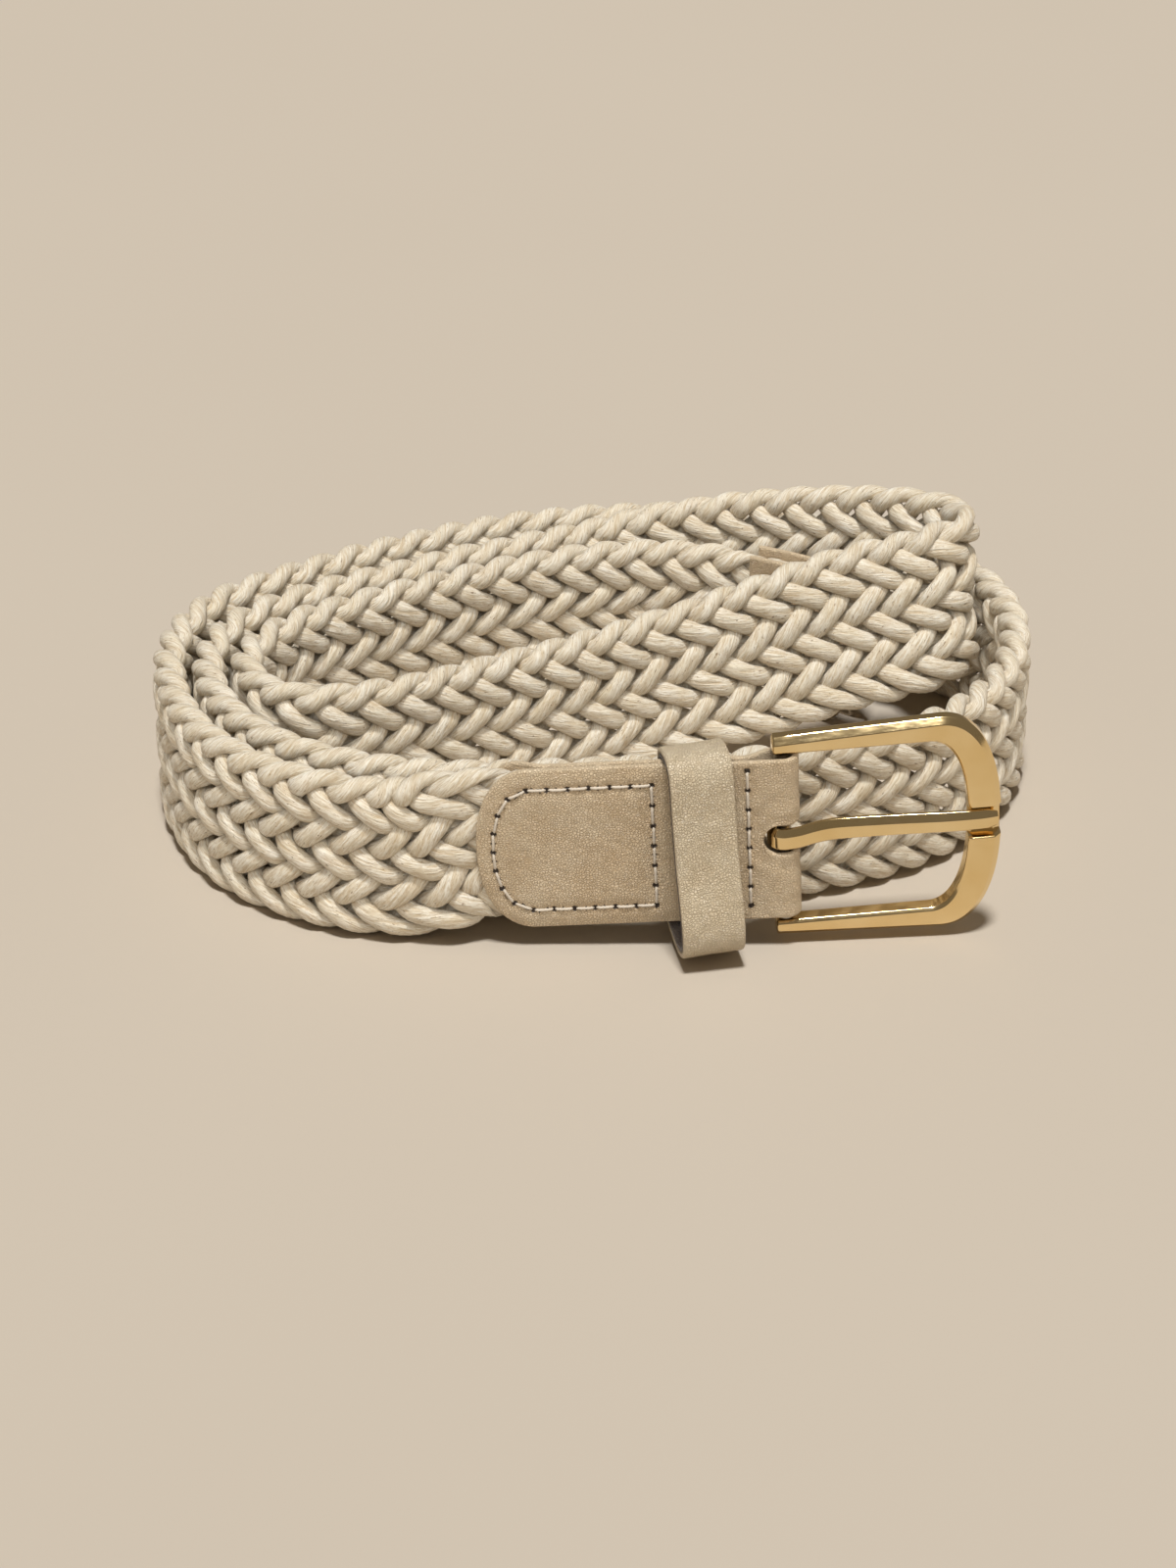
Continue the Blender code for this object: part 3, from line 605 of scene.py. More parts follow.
def rounded_seam(begin, end):
    """Needle holes of a closed seam with one straight end, at begin, and one rounded end."""
    half = SEAM_HALF_HEIGHT
    turn = np.sign(begin - end)
    across = begin + np.sign(end - begin) * STITCHES_ACROSS * STITCH_LENGTH
    heights = half * np.sin(np.linspace(-math.pi / 2, math.pi / 2, 81))
    curve = [(end + turn * tip_recess(w, half, SEAM_TIP_DEPTH), w) for w in heights]
    curve = [(u, w) for u, w in curve if turn * (u - across) <= 0]
    curve = [(across, -half)] + curve + [(across, half)]
    holes = [spaced([(begin, half), (begin, -half)], STITCHES_ACROSS),
             spaced([(begin, -half), (across, -half)], STITCHES_ACROSS),
             spaced(curve, STITCHES_ROUND),
             spaced([(across, half), (begin, half)], STITCHES_ACROSS)]
    return np.vstack(holes + [[(begin, half)]])


def seam_field(points, seams):
    """Distance from the nearest seam, and place relative to the nearest hole, of 2-D points."""
    best = np.full(len(points), 1e9)
    for holes in seams:
        for a, b in zip(holes[:-1], holes[1:]):
            t = np.clip((points - a) @ (b - a) / np.sum((b - a) ** 2), 0, 1)
            best = np.minimum(best, np.linalg.norm(points - a - t[:, None] * (b - a), axis=1))
    every = np.vstack(seams)
    nearest = np.argmin(np.linalg.norm(points[:, None] - every[None], axis=2), axis=1)
    return best, points - every[nearest]


def rounding(distance):
    """How far a leaf's face falls away this close to its cut edge."""
    near = np.clip(EDGE_RADIUS - distance, 0, EDGE_RADIUS)
    return EDGE_RADIUS - np.sqrt(np.maximum(EDGE_RADIUS ** 2 - near ** 2, 0))


def swell(u, w, off, inside, seed):
    """Pull of the stitches, stuffing inside the seam and soft unevenness, in millimetres."""
    dent = -0.2 * np.exp(-(off / 0.75) ** 2)
    filled = 0.16 * smooth(off, 0.3, 2.6) * inside
    uneven = 0.05 * np.sin(u * 0.55 + seed) * np.sin(w * 0.42 + 1.7 * seed)
    uneven = uneven + 0.035 * np.sin(u * 1.35 + w * 0.6 + seed) * np.cos(w * 1.05 - u * 0.3)
    return dent + filled + uneven


def bar_creases(u, w):
    """Folds that gather round the slot and the bend over the bar."""
    near = smooth(u, -9.0, -3.0)
    fan = np.sin(np.arctan2(w, u + 11.0) * 17.0) * np.exp(-((np.abs(w) - 5.5) / 5.5) ** 2)
    pinch = -0.22 * np.exp(-(w / 3.6) ** 2) * smooth(u, -9.0, -4.5)
    return near * (0.07 * fan + 0.06 * np.sin(u * 1.9 + 0.8 * np.sin(w * 0.5))) + pinch


class Sheet:
    """A leather sheet as a grid of points with an outer and an inner face."""

    def __init__(self):
        self.points, self.faces, self.marks = [], [], []

    def add_half(self, outer, inner, outer_marks, inner_marks, open_row):
        """One patch; its sides are walled except along the first row where open_row is False."""
        rows, columns = outer.shape[:2]
        start = sum(len(p) for p in self.points)
        self.points += [outer.reshape(-1, 3), inner.reshape(-1, 3)]
        self.marks += [outer_marks.reshape(-1, 3), inner_marks.reshape(-1, 3)]
        below = start + rows * columns
        self.faces += grid_faces(rows, columns, start) + grid_faces(rows, columns, below, flip=True)
        rim = [(0, c) for c in range(columns)], [(rows - 1, c) for c in range(columns)]
        ends = [(r, 0) for r in range(rows)], [(r, columns - 1) for r in range(rows)]
        for which, line in enumerate((*rim, *ends)):
            for a, b in zip(line[:-1], line[1:]):
                if which == 0 and not (open_row[a[1]] or open_row[b[1]]):
                    continue
                i, j = (start + r * columns + c for r, c in (a, b))
                self.faces.append((i, j, j + rows * columns, i + rows * columns))

    def make(self, name, mat, matrix=None):
        points = np.vstack(self.points)
        obj = build(name, points, self.faces, mat, matrix=matrix)
        point_data(obj, "seam", np.vstack(self.marks))
        work = bmesh.new()
        work.from_mesh(obj.data)
        bmesh.ops.remove_doubles(work, verts=work.verts, dist=1e-7)
        bmesh.ops.recalc_face_normals(work, faces=work.faces)
        work.to_mesh(obj.data)
        work.free()
        return obj


def row_shares(count, span):
    """Shares from 0 to 1 across a leaf, closer together at both ends."""
    near = [step / span for step in EDGE_STEPS]
    middle = np.linspace(near[-1], 1 - near[-1], count)[1:-1]
    return np.array(near + list(middle) + [1 - x for x in reversed(near)])


def seam_marks(points, to_edge, seams):
    """Distance from the seams, and the vectors that the leather's material reads on each face."""
    off, from_hole = seam_field(np.column_stack([c.ravel() for c in points]), seams)
    from_hole = from_hole.reshape(*to_edge.shape, 2)
    marks = np.concatenate([from_hole, to_edge[..., None]], axis=-1)
    blank = np.concatenate([from_hole * 0 + FAR, to_edge[..., None]], axis=-1)
    return off.reshape(to_edge.shape), marks, blank


QUARTER = math.pi / 2 * (FRONT_FACE + LEATHER / 2)


def tab_place(s, w, offset):
    """Point of the folded sheet: s below 0 on the front leaf, above 0 on the back one."""
    run = np.abs(s) - QUARTER
    angle = s / QUARTER * math.pi / 2
    radius = FRONT_FACE + offset
    on_bend = run < 0
    u = np.where(on_bend, radius * np.cos(angle), -run)
    front = FRONT_FACE + offset
    back = back_face(-run) - offset
    n = np.where(on_bend, -radius * np.sin(angle), np.where(s < 0, front, back))
    return np.stack([u, w * np.ones_like(u), n], axis=-1)


def slot_edge(s):
    """Half height of the prong's slot at s along the sheet, 0 where there is leather."""
    reach = QUARTER + SLOT_REACH
    beyond = np.clip((np.abs(s) - (reach - SLOT_HALF_HEIGHT)) / SLOT_HALF_HEIGHT, 0, 1)
    return SLOT_HALF_HEIGHT * np.sqrt(1 - beyond ** 2)


def make_tab(mat, matrix):
    half = TAB_HEIGHT / 2
    seams = [rounded_seam(*TAB_SEAM), fold_holes()]
    shares = row_shares(30, half)
    reach = QUARTER + SLOT_REACH
    slot_side = reach - SLOT_HALF_HEIGHT * (1 - np.cos(np.linspace(0, math.pi / 2, 12)))
    longest = QUARTER + TAB_LENGTH - TAB_TIP_DEPTH - 3.0
    inner_columns = sorted(set(np.round(np.concatenate([
        np.linspace(0, QUARTER, 13), np.linspace(QUARTER, slot_side.min(), 3), slot_side,
        reach + np.array([0.04, 0.12, 0.25, 0.45]), np.arange(reach + 0.9, longest, 0.62)]), 5)))
    end_shares = np.array([1 - x for x in reversed(SHARES_FROM_TIP)])
    sheet = Sheet()
    for sign in (1, -1):
        blocks = []
        for direction in (-1, 1):
            base = np.array(inner_columns)
            edge = slot_edge(base)
            w = edge[None, :] + shares[:, None] * (half - edge)[None, :]
            s = np.broadcast_to(base, w.shape)
            w_end = shares[:, None] * half * np.ones_like(end_shares)[None, :]
            last = QUARTER + TAB_LENGTH - tip_recess(w_end, half, TAB_TIP_DEPTH)
            s_end = longest + end_shares[None, :] * (last - longest)
            s_all = np.concatenate([s, s_end], axis=1)
            w_all = np.concatenate([w, w_end], axis=1)
            if direction < 0:
                blocks.append((-s_all[:, ::-1], w_all[:, ::-1]))
            else:
                blocks.append((s_all[:, 1:], w_all[:, 1:]))
        s = np.concatenate([b[0] for b in blocks], axis=1)
        w = np.concatenate([b[1] for b in blocks], axis=1)
        recess = tip_recess(w, half, TAB_TIP_DEPTH)
        slope = np.gradient(tip_recess(np.linspace(0, half, 400), half, TAB_TIP_DEPTH), half / 399)
        lean = np.interp(w, np.linspace(0, half, 400), slope)
        to_tip = (QUARTER + TAB_LENGTH - recess - np.abs(s)) / np.sqrt(1 + lean ** 2)
        past_slot = np.maximum(np.abs(s) - reach + SLOT_HALF_HEIGHT, 0)
        to_slot = np.where(slot_edge(s) > 0, w - slot_edge(s), np.hypot(past_slot, w) - SLOT_HALF_HEIGHT)
        to_edge = np.maximum(np.minimum(np.minimum(half - w, to_tip), to_slot), 0)
        fall = rounding(to_edge)
        w = w * sign
        u = np.where(np.abs(s) > QUARTER, QUARTER - np.abs(s), 0.0)
        off, marks, blank = seam_marks((u, w), to_edge, seams)
        reach_in = tip_recess(w, SEAM_HALF_HEIGHT, SEAM_TIP_DEPTH)
        inside = (u < TAB_SEAM[0]) & (u > TAB_SEAM[1] + reach_in) & (np.abs(w) < SEAM_HALF_HEIGHT)
        crease = bar_creases(u, w)
        lift = swell(u, w, off, inside, 0.4) + crease
        lift = lift * smooth(to_edge, 0.0, 1.2)
        droop = -0.35 * smooth(-to_edge, -2.4, 0.0) * smooth(-u, 12.0, 20.0)
        bulge = np.where(s < 0, lift + droop, 0.7 * lift)
        outer = tab_place(s, w, LEATHER - fall + bulge)
        inner = tab_place(s, w, np.maximum(fall, 0.0) + np.minimum(droop, 0) * (s < 0))
        sheet.add_half(outer, inner, marks, blank, slot_edge(s[0]) > 0)
    tab = sheet.make("leather_tab", mat, matrix)
    return tab, seams


def fold_holes():
    place, top, bottom = FOLD_SEAM
    return np.column_stack([np.full(FOLD_STITCHES + 1, place), np.linspace(top, bottom, FOLD_STITCHES + 1)])


def make_tip_leaf(strap, name, side, mat):
    half = TAB_HEIGHT / 2
    begin = strap.length - TIP_LENGTH
    seam = rounded_seam(begin + TIP_SEAM_MARGINS[0], strap.length - TIP_SEAM_MARGINS[1])
    shares = row_shares(40, TAB_HEIGHT)
    along = np.array(LEAF_FIRST_SHARES + list(np.linspace(.13, .87, 18)) + LEAF_LAST_SHARES)
    w = (2 * shares - 1)[:, None] * half * np.ones_like(along)[None, :]
    last = TIP_LENGTH - tip_recess(w, half, TAB_TIP_DEPTH)
    run = along[None, :] * last
    grid = np.linspace(0, half, 400)
    slope = np.gradient(tip_recess(grid, half, TAB_TIP_DEPTH), half / 399)
    lean = np.interp(np.abs(w), grid, slope)
    to_edge = np.minimum(np.minimum(half - np.abs(w), run), (last - run) / np.sqrt(1 + lean ** 2))
    to_edge = np.maximum(to_edge, 0)
    fall = rounding(to_edge)
    s = begin + run
    off, marks, blank = seam_marks((s, w), to_edge, [seam])
    lift = swell(s, w, off, 0.0, 2.0) * smooth(to_edge, 0, 1.2)
    faces = []
    for offset in (LEATHER - fall + lift, fall):
        n = side * (TIP_FACE + offset)
        faces.append(strap.points(s.ravel(), w.ravel(), n.ravel()).reshape(*s.shape, 3))
    sheet = Sheet()
    sheet.add_half(faces[0], faces[1], marks, blank, np.ones(len(along), bool))
    leaf = sheet.make(name, mat)
    return leaf, seam


# ---------------------------------------------------------------- stitches

def stitch_rings(start, stop, out, index):
    """One stitch: up out of a hole, along the leather, and down into the next."""
    steps = 18
    share = 0.5 - 0.5 * np.cos(np.linspace(0, math.pi, steps))[:, None]
    hop = unit(stop - start)
    line = start + hop * 0.18 + (stop - start - hop * 0.36) * share
    arch = np.sin(math.pi * share)
    path = line + out * (0.06 * arch ** 0.5 - 0.62 * (1 - arch) ** 4)
    along = unit(np.gradient(path, axis=0))
    side = unit(np.cross(along, out))
    up = np.cross(side, along)
    length = np.concatenate([[0], np.cumsum(np.linalg.norm(np.diff(path, axis=0), axis=1))])
    turn = np.arange(10) * 2 * math.pi / 10
    twist = 2 * math.pi * length[:, None] / PLY_TURN + index
    radius = THREAD_RADIUS * (1 + 0.2 * np.cos(2 * (turn[None, :] - twist)))
    rings = (path[:, None] + side[:, None] * (radius * np.cos(turn))[:, :, None]
             + up[:, None] * (radius * np.sin(turn))[:, :, None])
    fibre = np.stack([np.broadcast_to(length[:, None] + 5.0 * index, radius.shape),
                      np.cos(turn[None, :] - twist), np.sin(turn[None, :] - twist)], axis=2)
    return rings, fibre


def make_stitches(name, holes, place, mat, matrix=None):
    """Every stitch of a seam on one face; place gives a hole's spot and its outward direction."""
    points, faces, fibres = [], [], []
    rng = np.random.default_rng(SEED)
    for k in range(len(holes) - 1):
        wander = rng.uniform(-0.06, 0.06, (2, 2))
        (a, out), (b, _) = place(*(holes[k] + wander[0])), place(*(holes[k + 1] + wander[1]))
        rings, fibre = stitch_rings(a, b, out, k)
        shell, sides = loft(rings)
        base = sum(len(p) for p in points)
        points.append(shell)
        faces += [tuple(base + i for i in f) for f in sides]
        fibres.append(fibre.reshape(-1, 3))
    obj = build(name, np.vstack(points), faces, mat, matrix=matrix)
    point_data(obj, "fibre", np.vstack(fibres))
    return obj


def on_front(u, w):
    return np.array([u, w, FRONT_FACE + LEATHER - 0.1]), np.array([0.0, 0.0, 1.0])


def on_back(u, w):
    rise = float(back_face(u + 0.1) - back_face(u - 0.1)) / 0.2
    out = unit(np.array([rise, 0.0, -1.0]))
    return np.array([u, w, float(back_face(u)) - LEATHER + 0.1]), out


def on_tip(strap, side):
    def place(s, w):
        spot = strap.points(s, w, side * (TIP_FACE + LEATHER - 0.1))[0]
        out = side * strap.frames(np.atleast_1d(s))[2][0]
        return spot, unit(out)
    return place


# ---------------------------------------------------------------- the keeper

KEEPER_CENTRE = -14.3
KEEPER_WIDTH = 10.5
KEEPER_YAW = 11.0
KEEPER_LEAN = 0.5
KEEPER_OUTER_PLY = 0.9
KEEPER_INNER_PLY = 0.6
PLY_SPREAD = 0.14  # by which each ply fills the CAD's gap between the two
KEEPER_WAVE = 1.3  # phase of the band's waviness, the same for both plies
KEEPER_LOOP = [
    (0.6, 16.4), (3.7, 16.4), (5.7, 14.3), (6.3, 7.5), (7.5, -1.0), (9.3, -7.5), (10.2, -12.4),
    (9.3, -16.0), (6.0, -17.7), (1.4, -17.6), (-2.0, -16.9), (-3.3, -14.6), (-3.3, -6.0),
    (-3.3, 4.0), (-3.3, 12.2), (-2.4, 15.3),
]


def keeper_ply(name, low, high, mat, matrix, wrinkled):
    """A closed band round the keeper's loop with rounded edges."""
    loop = closed_curve(KEEPER_LOOP, 14)
    for _ in range(12):
        loop = (np.roll(loop, 1, axis=0) + 2 * loop + np.roll(loop, -1, axis=0)) / 4
    along = unit(np.roll(loop, -1, axis=0) - np.roll(loop, 1, axis=0))
    outward = np.column_stack([-along[:, 1], along[:, 0]])
    dist = np.concatenate([[0], np.cumsum(np.linalg.norm(np.diff(loop, axis=0), axis=1))])
    half = KEEPER_WIDTH / 2
    round_off = (high - low) * 0.42
    inset = [0.0, 0.12, 0.3, 0.6, 1.0]
    across = np.concatenate([[-half + x * round_off for x in inset], np.linspace(-half + 0.9, half - 0.9, 15),
                             [half - x * round_off for x in reversed(inset)]])
    edge = half - np.abs(across)
    near = np.clip(round_off - edge, 0, round_off)
    fall = round_off - np.sqrt(round_off ** 2 - near ** 2)
    rings = []
    for k in range(len(loop)):
        bend = math.exp(-((dist[k] - 8.5) / 5.0) ** 2)
        ruck = 0.06 * np.sin(across * 2.6 + 2.2 * math.sin(dist[k] * 0.9))
        ruck = ruck * math.sin(dist[k] * 3.1 + 0.5 * KEEPER_WAVE)
        wave = 0.10 * math.sin(dist[k] * 0.31 + KEEPER_WAVE) * (across / half) ** 2
        flat = 1 - near / round_off
        lift = (wrinkled * (bend * ruck + 0.02 * np.sin(dist[k] * 0.8 + across)) + wave) * flat
        top = high - fall + lift
        bottom = low + fall + wave * flat
        ring = [(c, *(loop[k] + outward[k] * h)[::-1]) for c, h in zip(across, top)]
        ring += [(c, *(loop[k] + outward[k] * h)[::-1]) for c, h in zip(across[::-1], bottom[::-1])]
        rings.append(ring)
    points, faces = loft(rings, closed=True)
    return build(name, points, faces, mat, matrix=matrix)


# ---------------------------------------------------------------- buckle and prong

BUCKLE_REST_YAW = 5.0
BUCKLE_DROP = 0.45
BUCKLE_REACH = 36.0
BUCKLE_DEPTH = 3.2
BUCKLE_HALF_AT_BAR = 18.8
BUCKLE_HALF_AT_RIM = 20.0
WINDOW_HALF = 15.8
WINDOW_REACH = 30.5
OUTER_CORNER = 10.0
INNER_CORNER = 6.6
CORNER_POWER = 2.3
OUTER_BEVEL = 1.15
INNER_BEVEL = 0.55
ARM_TAIL = 1.7
NOTCH_HALF = 2.6
NOTCH_DEPTH = 1.6
PRONG_LOOP_RADIUS = 2.2
PRONG_LOOP_THICKNESS = 1.24
PRONG_RISE = 0.4  # above the middle of the buckle
PRONG_HALF_WIDTHS = ((8.0, 33.8, 35.3), (1.85, 1.7, 1.2))
PRONG_BEVEL = 1.25
PRONG_ROUNDING = 0.12
BUCKLE_ROUNDING = 0.16
PRONG_LINE = [
    (2.2, 1.85, 0.64), (4.6, 0.95, 0.7), (7.5, 0.2, 0.75), (12.0, 0.1, 0.8), (20.0, 0.5, 0.8),
    (28.0, 1.05, 0.78), (31.0, 1.15, 0.72), (33.4, 1.1, 0.68), (35.3, 1.0, 0.45),
]


def soften(corners, radius, steps=3):
    """Round every corner of a closed polygon of 3-D points."""
    pts = np.asarray(corners, float)
    out = []
    for i in range(len(pts)):
        before, here, after = pts[i - 1], pts[i], pts[(i + 1) % len(pts)]
        back, ahead = before - here, after - here
        reach = min(radius, 0.45 * np.linalg.norm(back), 0.45 * np.linalg.norm(ahead))
        a, b = here + reach * unit(back), here + reach * unit(ahead)
        for k in range(steps + 1):
            t = k / steps
            out.append((1 - t) ** 2 * a + 2 * t * (1 - t) * here + t * t * b)
    return np.array(out)


def rim_point(reach, corner, half, share):
    """A point of an edge's rounded end; share runs from 0 at the arm to 1 at mid-rim."""
    angle = math.pi / 2 * (1 - share)
    along = corner * math.cos(angle) ** (2 / CORNER_POWER)
    return reach - corner + along, half * math.sin(angle) ** (2 / CORNER_POWER)


def buckle_pairs():
    """Outer and inner points of the open frame, from the upper arm's tail to the notch."""
    pairs = []
    for t in np.linspace(0, 1, 10)[:-1]:
        outer = (-ARM_TAIL + (BUCKLE_REACH - OUTER_CORNER + ARM_TAIL) * t,
                 BUCKLE_HALF_AT_BAR + (BUCKLE_HALF_AT_RIM - BUCKLE_HALF_AT_BAR) * t)
        inner = (-ARM_TAIL + (WINDOW_REACH - INNER_CORNER + ARM_TAIL) * t, WINDOW_HALF)
        pairs.append((outer, inner))
    for share in np.linspace(0, 0.9, 46):
        pairs.append((rim_point(BUCKLE_REACH, OUTER_CORNER, BUCKLE_HALF_AT_RIM, share),
                      rim_point(WINDOW_REACH, INNER_CORNER, WINDOW_HALF, share)))
    return pairs


def buckle_section(outer, inner, lowered=0.0, shrink=0.0):
    out, into = np.array(outer, float), np.array(inner, float)
    across = unit(out - into)
    out, into = out - across * shrink, into + across * shrink
    back, front = -BUCKLE_DEPTH / 2 + shrink, BUCKLE_DEPTH / 2 - lowered - shrink
    spots = [(into + across * 0.3, back), (out - across * 0.5, back),
             (out, back + 0.5), (out, front - OUTER_BEVEL),
             (out - across * OUTER_BEVEL, front), (into + across * INNER_BEVEL, front),
             (into, front - INNER_BEVEL), (into, back + 0.3)]
    return soften([(p[0], p[1], n) for p, n in spots], BUCKLE_ROUNDING)


def make_buckle(mat, matrix):
    half = buckle_pairs()
    rings = []
    for step, shrink in ((0.0, 0.45), (0.08, 0.25), (0.2, 0.1), (0.4, 0.0)):
        first = [(p[0] + step, p[1]) for p in half[0]]
        rings.append(buckle_section(*first, shrink=shrink))
    rings += [buckle_section(outer, inner) for outer, inner in half[1:]]
    for height, lowered in ((NOTCH_HALF + 0.45, 0.0), (NOTCH_HALF + 0.3, 0.06), (NOTCH_HALF + 0.15, 0.3),
                            (NOTCH_HALF, NOTCH_DEPTH)):
        rings.append(buckle_section((BUCKLE_REACH, height), (WINDOW_REACH, height), lowered))
    rings += [[(u, -w, n) for u, w, n in ring] for ring in reversed(rings)]
    points, faces = loft(rings)
    obj = build("buckle_polished", points, faces, mat, 50, matrix)
    return weigh_normals(obj)


def weigh_normals(obj):
    """Flat faces keep flat reflections and the rounding stays on the corners."""
    weighted = obj.modifiers.new("flat_faces", "WEIGHTED_NORMAL")
    weighted.keep_sharp = True
    weighted.weight = 80
    return obj


def make_prong(mat, matrix):
    """A flat tongue with a loop round the bar; its front has wide bevels."""
    loop = np.radians(np.linspace(-62, -270, 29))
    turned = np.column_stack([PRONG_LOOP_RADIUS * np.cos(loop), PRONG_LOOP_RADIUS * np.sin(loop),
                              np.full(len(loop), PRONG_LOOP_THICKNESS / 2)])
    at, total = cubic_spline([tuple(turned[-1])] + PRONG_LINE)
    rest = at(np.linspace(0, total, 70))[1:]
    path = np.vstack([turned, rest])
    along = unit(np.gradient(path[:, :2], axis=0))
    normal = np.column_stack([-along[:, 1], along[:, 0]])
    rings = []
    for spot, side, thick in zip(path[:, :2], normal, path[:, 2]):
        half = np.interp(spot[0], *PRONG_HALF_WIDTHS)
        bevel = min(PRONG_BEVEL, half - 0.5)
        corners = [(half - bevel, thick), (half, 0.0), (half, -thick + 0.2), (half - 0.2, -thick),
                   (0.2 - half, -thick), (-half, 0.2 - thick), (-half, thick * 0.5), (0.35 - half, thick)]
        ring = [(spot[0] + side[0] * n, w + PRONG_RISE, spot[1] + side[1] * n) for w, n in corners]
        rings.append(soften(ring, PRONG_ROUNDING))
    points, faces = loft(rings)
    return weigh_normals(build("prong_polished", points, faces, mat, 50, matrix))


# ---------------------------------------------------------------- putting it together

def settle(obj, body, slot_name, *nodes):
    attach(obj, body)
    if nodes:
        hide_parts(*nodes)


def make_leather(strap):
    tones = [linear(code) for code in ("D2BA97", "A68A66", "DFCCAD")]
    leather = leather_material("tab_leather", *tones, 0.44, True)
    tones = [linear(code) for code in ("CFBC9D", "A6906F", "DCCDB1")]
    plain = leather_material("keeper_skin", *tones, 0.33)
    suede = suede_material("suede_back", linear("3B2E25"), linear("6E5D4C"))
    thread = thread_material()
    end = end_matrix()
    tab, seams = make_tab(leather, end)
    settle(tab, "strap", "leather", "buckle_tab")
    for name, holes, place, node in (
            ("tab_front_stitches", seams[0], on_front, "tab_needle_thread"),
            ("tab_back_stitches", seams[0], on_back, "tab_bobbin_thread"),
            ("fold_front_stitches", seams[1], on_front, "fold_needle_thread"),
            ("fold_back_stitches", seams[1], on_back, "fold_bobbin_thread")):
        settle(make_stitches(name, holes, place, thread, end), "strap", "thread", node)
    for side, word, node in ((1, "outer", "tip_needle_thread"), (-1, "inner", "tip_bobbin_thread")):
        leaf, seam = make_tip_leaf(strap, f"tip_{word}_leaf", side, leather)
        settle(leaf, "strap", "leather", f"tip_{word}_leather")
        stitches = make_stitches(f"tip_{word}_stitches", seam, on_tip(strap, side), thread)
        settle(stitches, "strap", "thread", node)

    turn = Euler((0, math.radians(KEEPER_YAW), math.radians(KEEPER_LEAN))).to_matrix().to_4x4()
    slider = end @ Matrix.Translation((KEEPER_CENTRE, 0, 0)) @ turn
    middle = (KEEPER_OUTER_PLY + KEEPER_INNER_PLY + CLEARANCE) / 2
    low = middle - KEEPER_OUTER_PLY - PLY_SPREAD
    outer_ply = keeper_ply("keeper_outer_ply", low, middle, plain, slider, 1.0)
    settle(outer_ply, "keeper", "leather", "keeper_leather")
    high = -middle + KEEPER_INNER_PLY + PLY_SPREAD
    inner_ply = keeper_ply("keeper_inner_ply", -middle, high, suede, slider, 0.0)
    settle(inner_ply, "keeper", "lining", "keeper_lining")


def make_metal():
    gold = metal_material("pale_gold", linear("F8DFAC"), linear("EED198"), 0.11)
    steel = metal_material("bar_steel", linear("B9B2A6"), linear("9B9488"), 0.25)
    turn = Euler((0, math.radians(BUCKLE_REST_YAW), 0)).to_matrix().to_4x4()
    pivot = end_matrix() @ Matrix.Translation((0, -BUCKLE_DROP, 0)) @ turn
    buckle, prong = make_buckle(gold, pivot), make_prong(gold, pivot)
    settle(buckle, "buckle", "gold", "buckle_frame")
    settle(prong, "prong", "gold", "prong")
    for node in ("buckle_bar", "keeper_staple"):
        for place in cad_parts[node].material_slots:
            place.material = steel
    return buckle, prong


# ---------------------------------------------------------------- stage, light and camera

FLOOR_HALF = 3000.0
# name, azimuth, elevation and strength
KEY = ("overhead_key", 0, 79, 2.68)
KEY_SOFTNESS = 9
FILLS = (("front_fill", -14, 40, 0.95), ("side_fill", 38, 46, 0.7))
FILL_SOFTNESS = 40
WORLD_COLOUR = (1.0, 0.88, 0.74, 1)
WORLD_STRENGTH = 0.17


def make_stage():
    points = [(x * FLOOR_HALF, y * FLOOR_HALF, 0) for x, y in ((-1, -1), (1, -1), (1, 1), (-1, 1))]
    floor = build("floor", points, [(0, 1, 2, 3)], floor_material())
    return floor


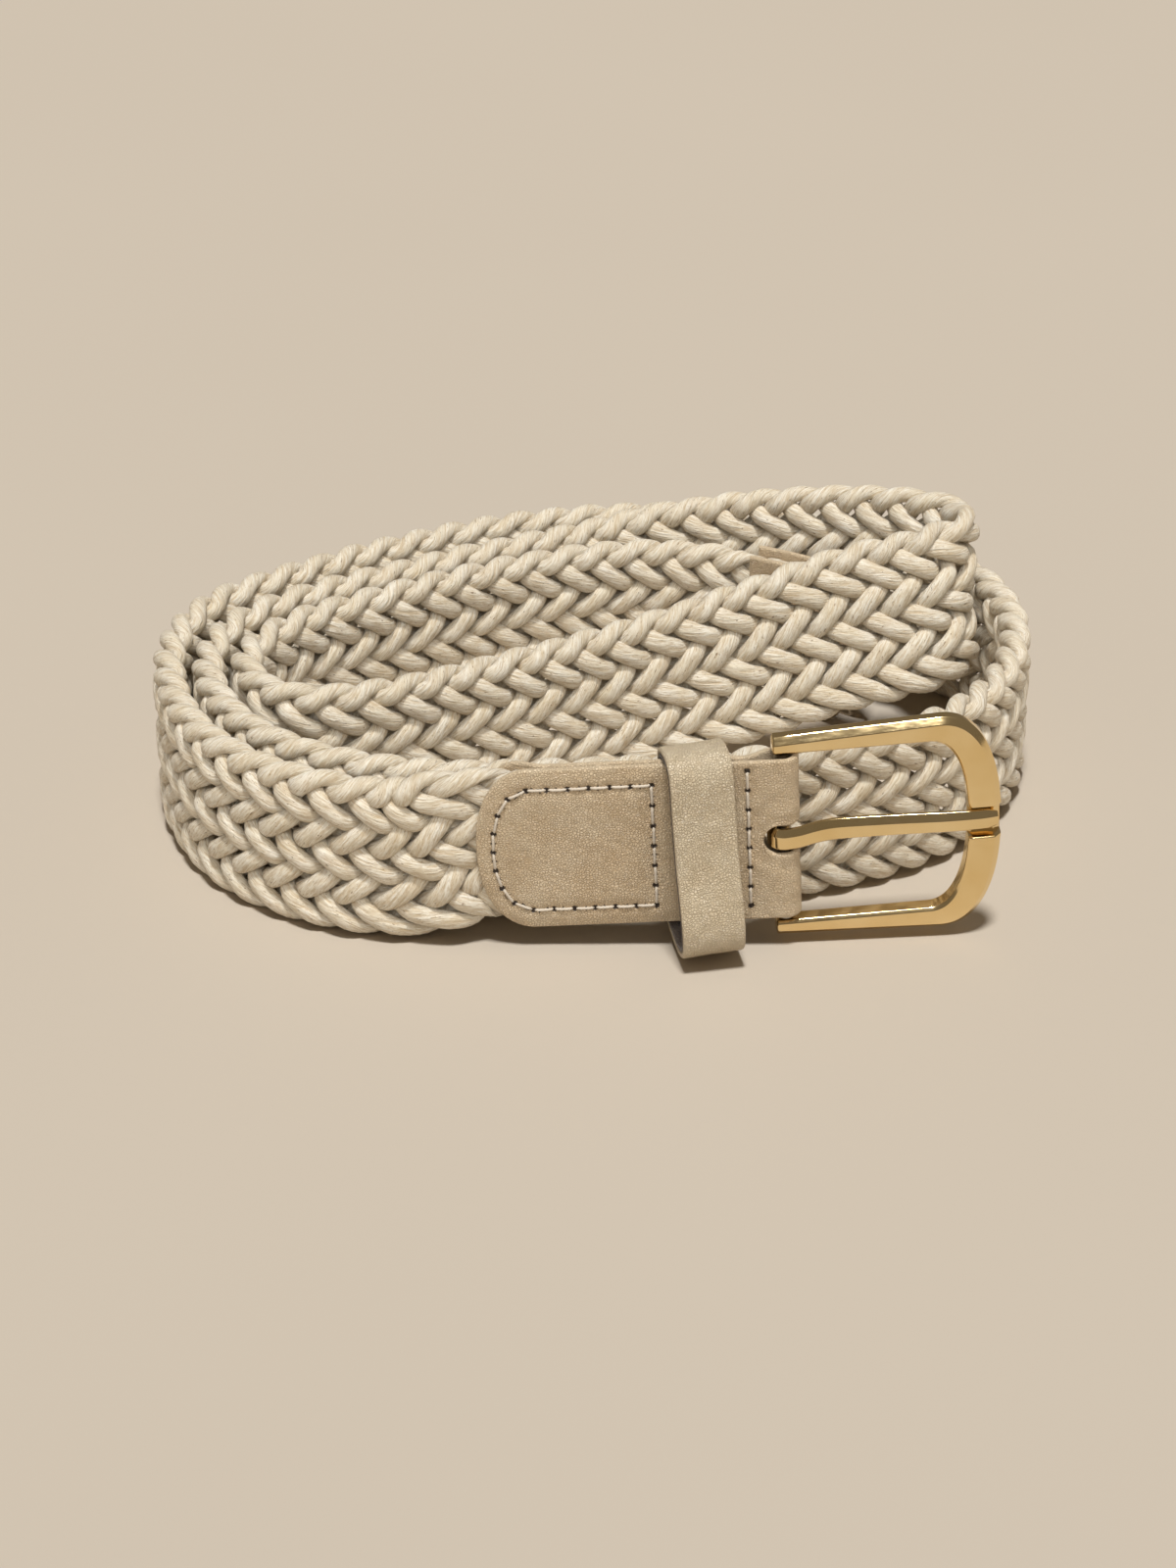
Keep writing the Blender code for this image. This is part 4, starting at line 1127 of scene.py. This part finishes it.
def add_sun(name, azimuth, elevation, strength, softness):
    """Azimuth 0 shines from the front, 90 from the right, 180 from behind."""
    lamp = bpy.data.lights.new(name, "SUN")
    lamp.energy = strength
    lamp.angle = math.radians(softness)
    obj = bpy.data.objects.new(name, lamp)
    bpy.context.scene.collection.objects.link(obj)
    a, e = math.radians(azimuth), math.radians(elevation)
    source = Vector((math.sin(a) * math.cos(e), -math.cos(a) * math.cos(e), math.sin(e)))
    obj.rotation_mode = "QUATERNION"
    obj.rotation_quaternion = source.to_track_quat("Z", "Y")
    return obj


def spare(lamp, objects):
    """Let a light reach everything but these objects."""
    spared = bpy.data.collections.new(lamp.name + "_spares")
    lamp.light_linking.receiver_collection = spared
    for index, obj in enumerate(objects):
        spared.objects.link(obj)
        spared.collection_objects[index].light_linking.link_state = "EXCLUDE"


def make_lights(floor, polished):
    """One key from overhead; the fills keep off the floor and off the mirror-like metal."""
    add_sun(*KEY, KEY_SOFTNESS)
    for fill in FILLS:
        spare(add_sun(*fill, FILL_SOFTNESS), [floor, *polished])
    world = bpy.data.worlds.new("studio")
    bpy.context.scene.world = world
    world.use_nodes = True
    background = world.node_tree.nodes["Background"]
    background.inputs["Color"].default_value = WORLD_COLOUR
    background.inputs["Strength"].default_value = WORLD_STRENGTH
    bpy.context.scene.view_settings.view_transform = "Standard"


def make_camera():
    camera = bpy.data.objects.new("camera", bpy.data.cameras.new("camera"))
    bpy.context.scene.collection.objects.link(camera)
    elevation = math.radians(VIEW_ELEVATION)
    back = Vector((0, -math.cos(elevation), math.sin(elevation)))
    camera.location = (Vector(VIEW_TARGET) + back * VIEW_DISTANCE) * MM
    camera.rotation_mode = "QUATERNION"
    camera.rotation_quaternion = back.to_track_quat("Z", "Y")
    camera.data.lens = LENS
    camera.data.sensor_width = 36.0
    camera.data.sensor_fit = "AUTO"
    bpy.context.scene.camera = camera


make_camera()
strap = Strap()
make_braid(strap)
make_leather(strap)
polished = make_metal()
make_lights(make_stage(), polished)
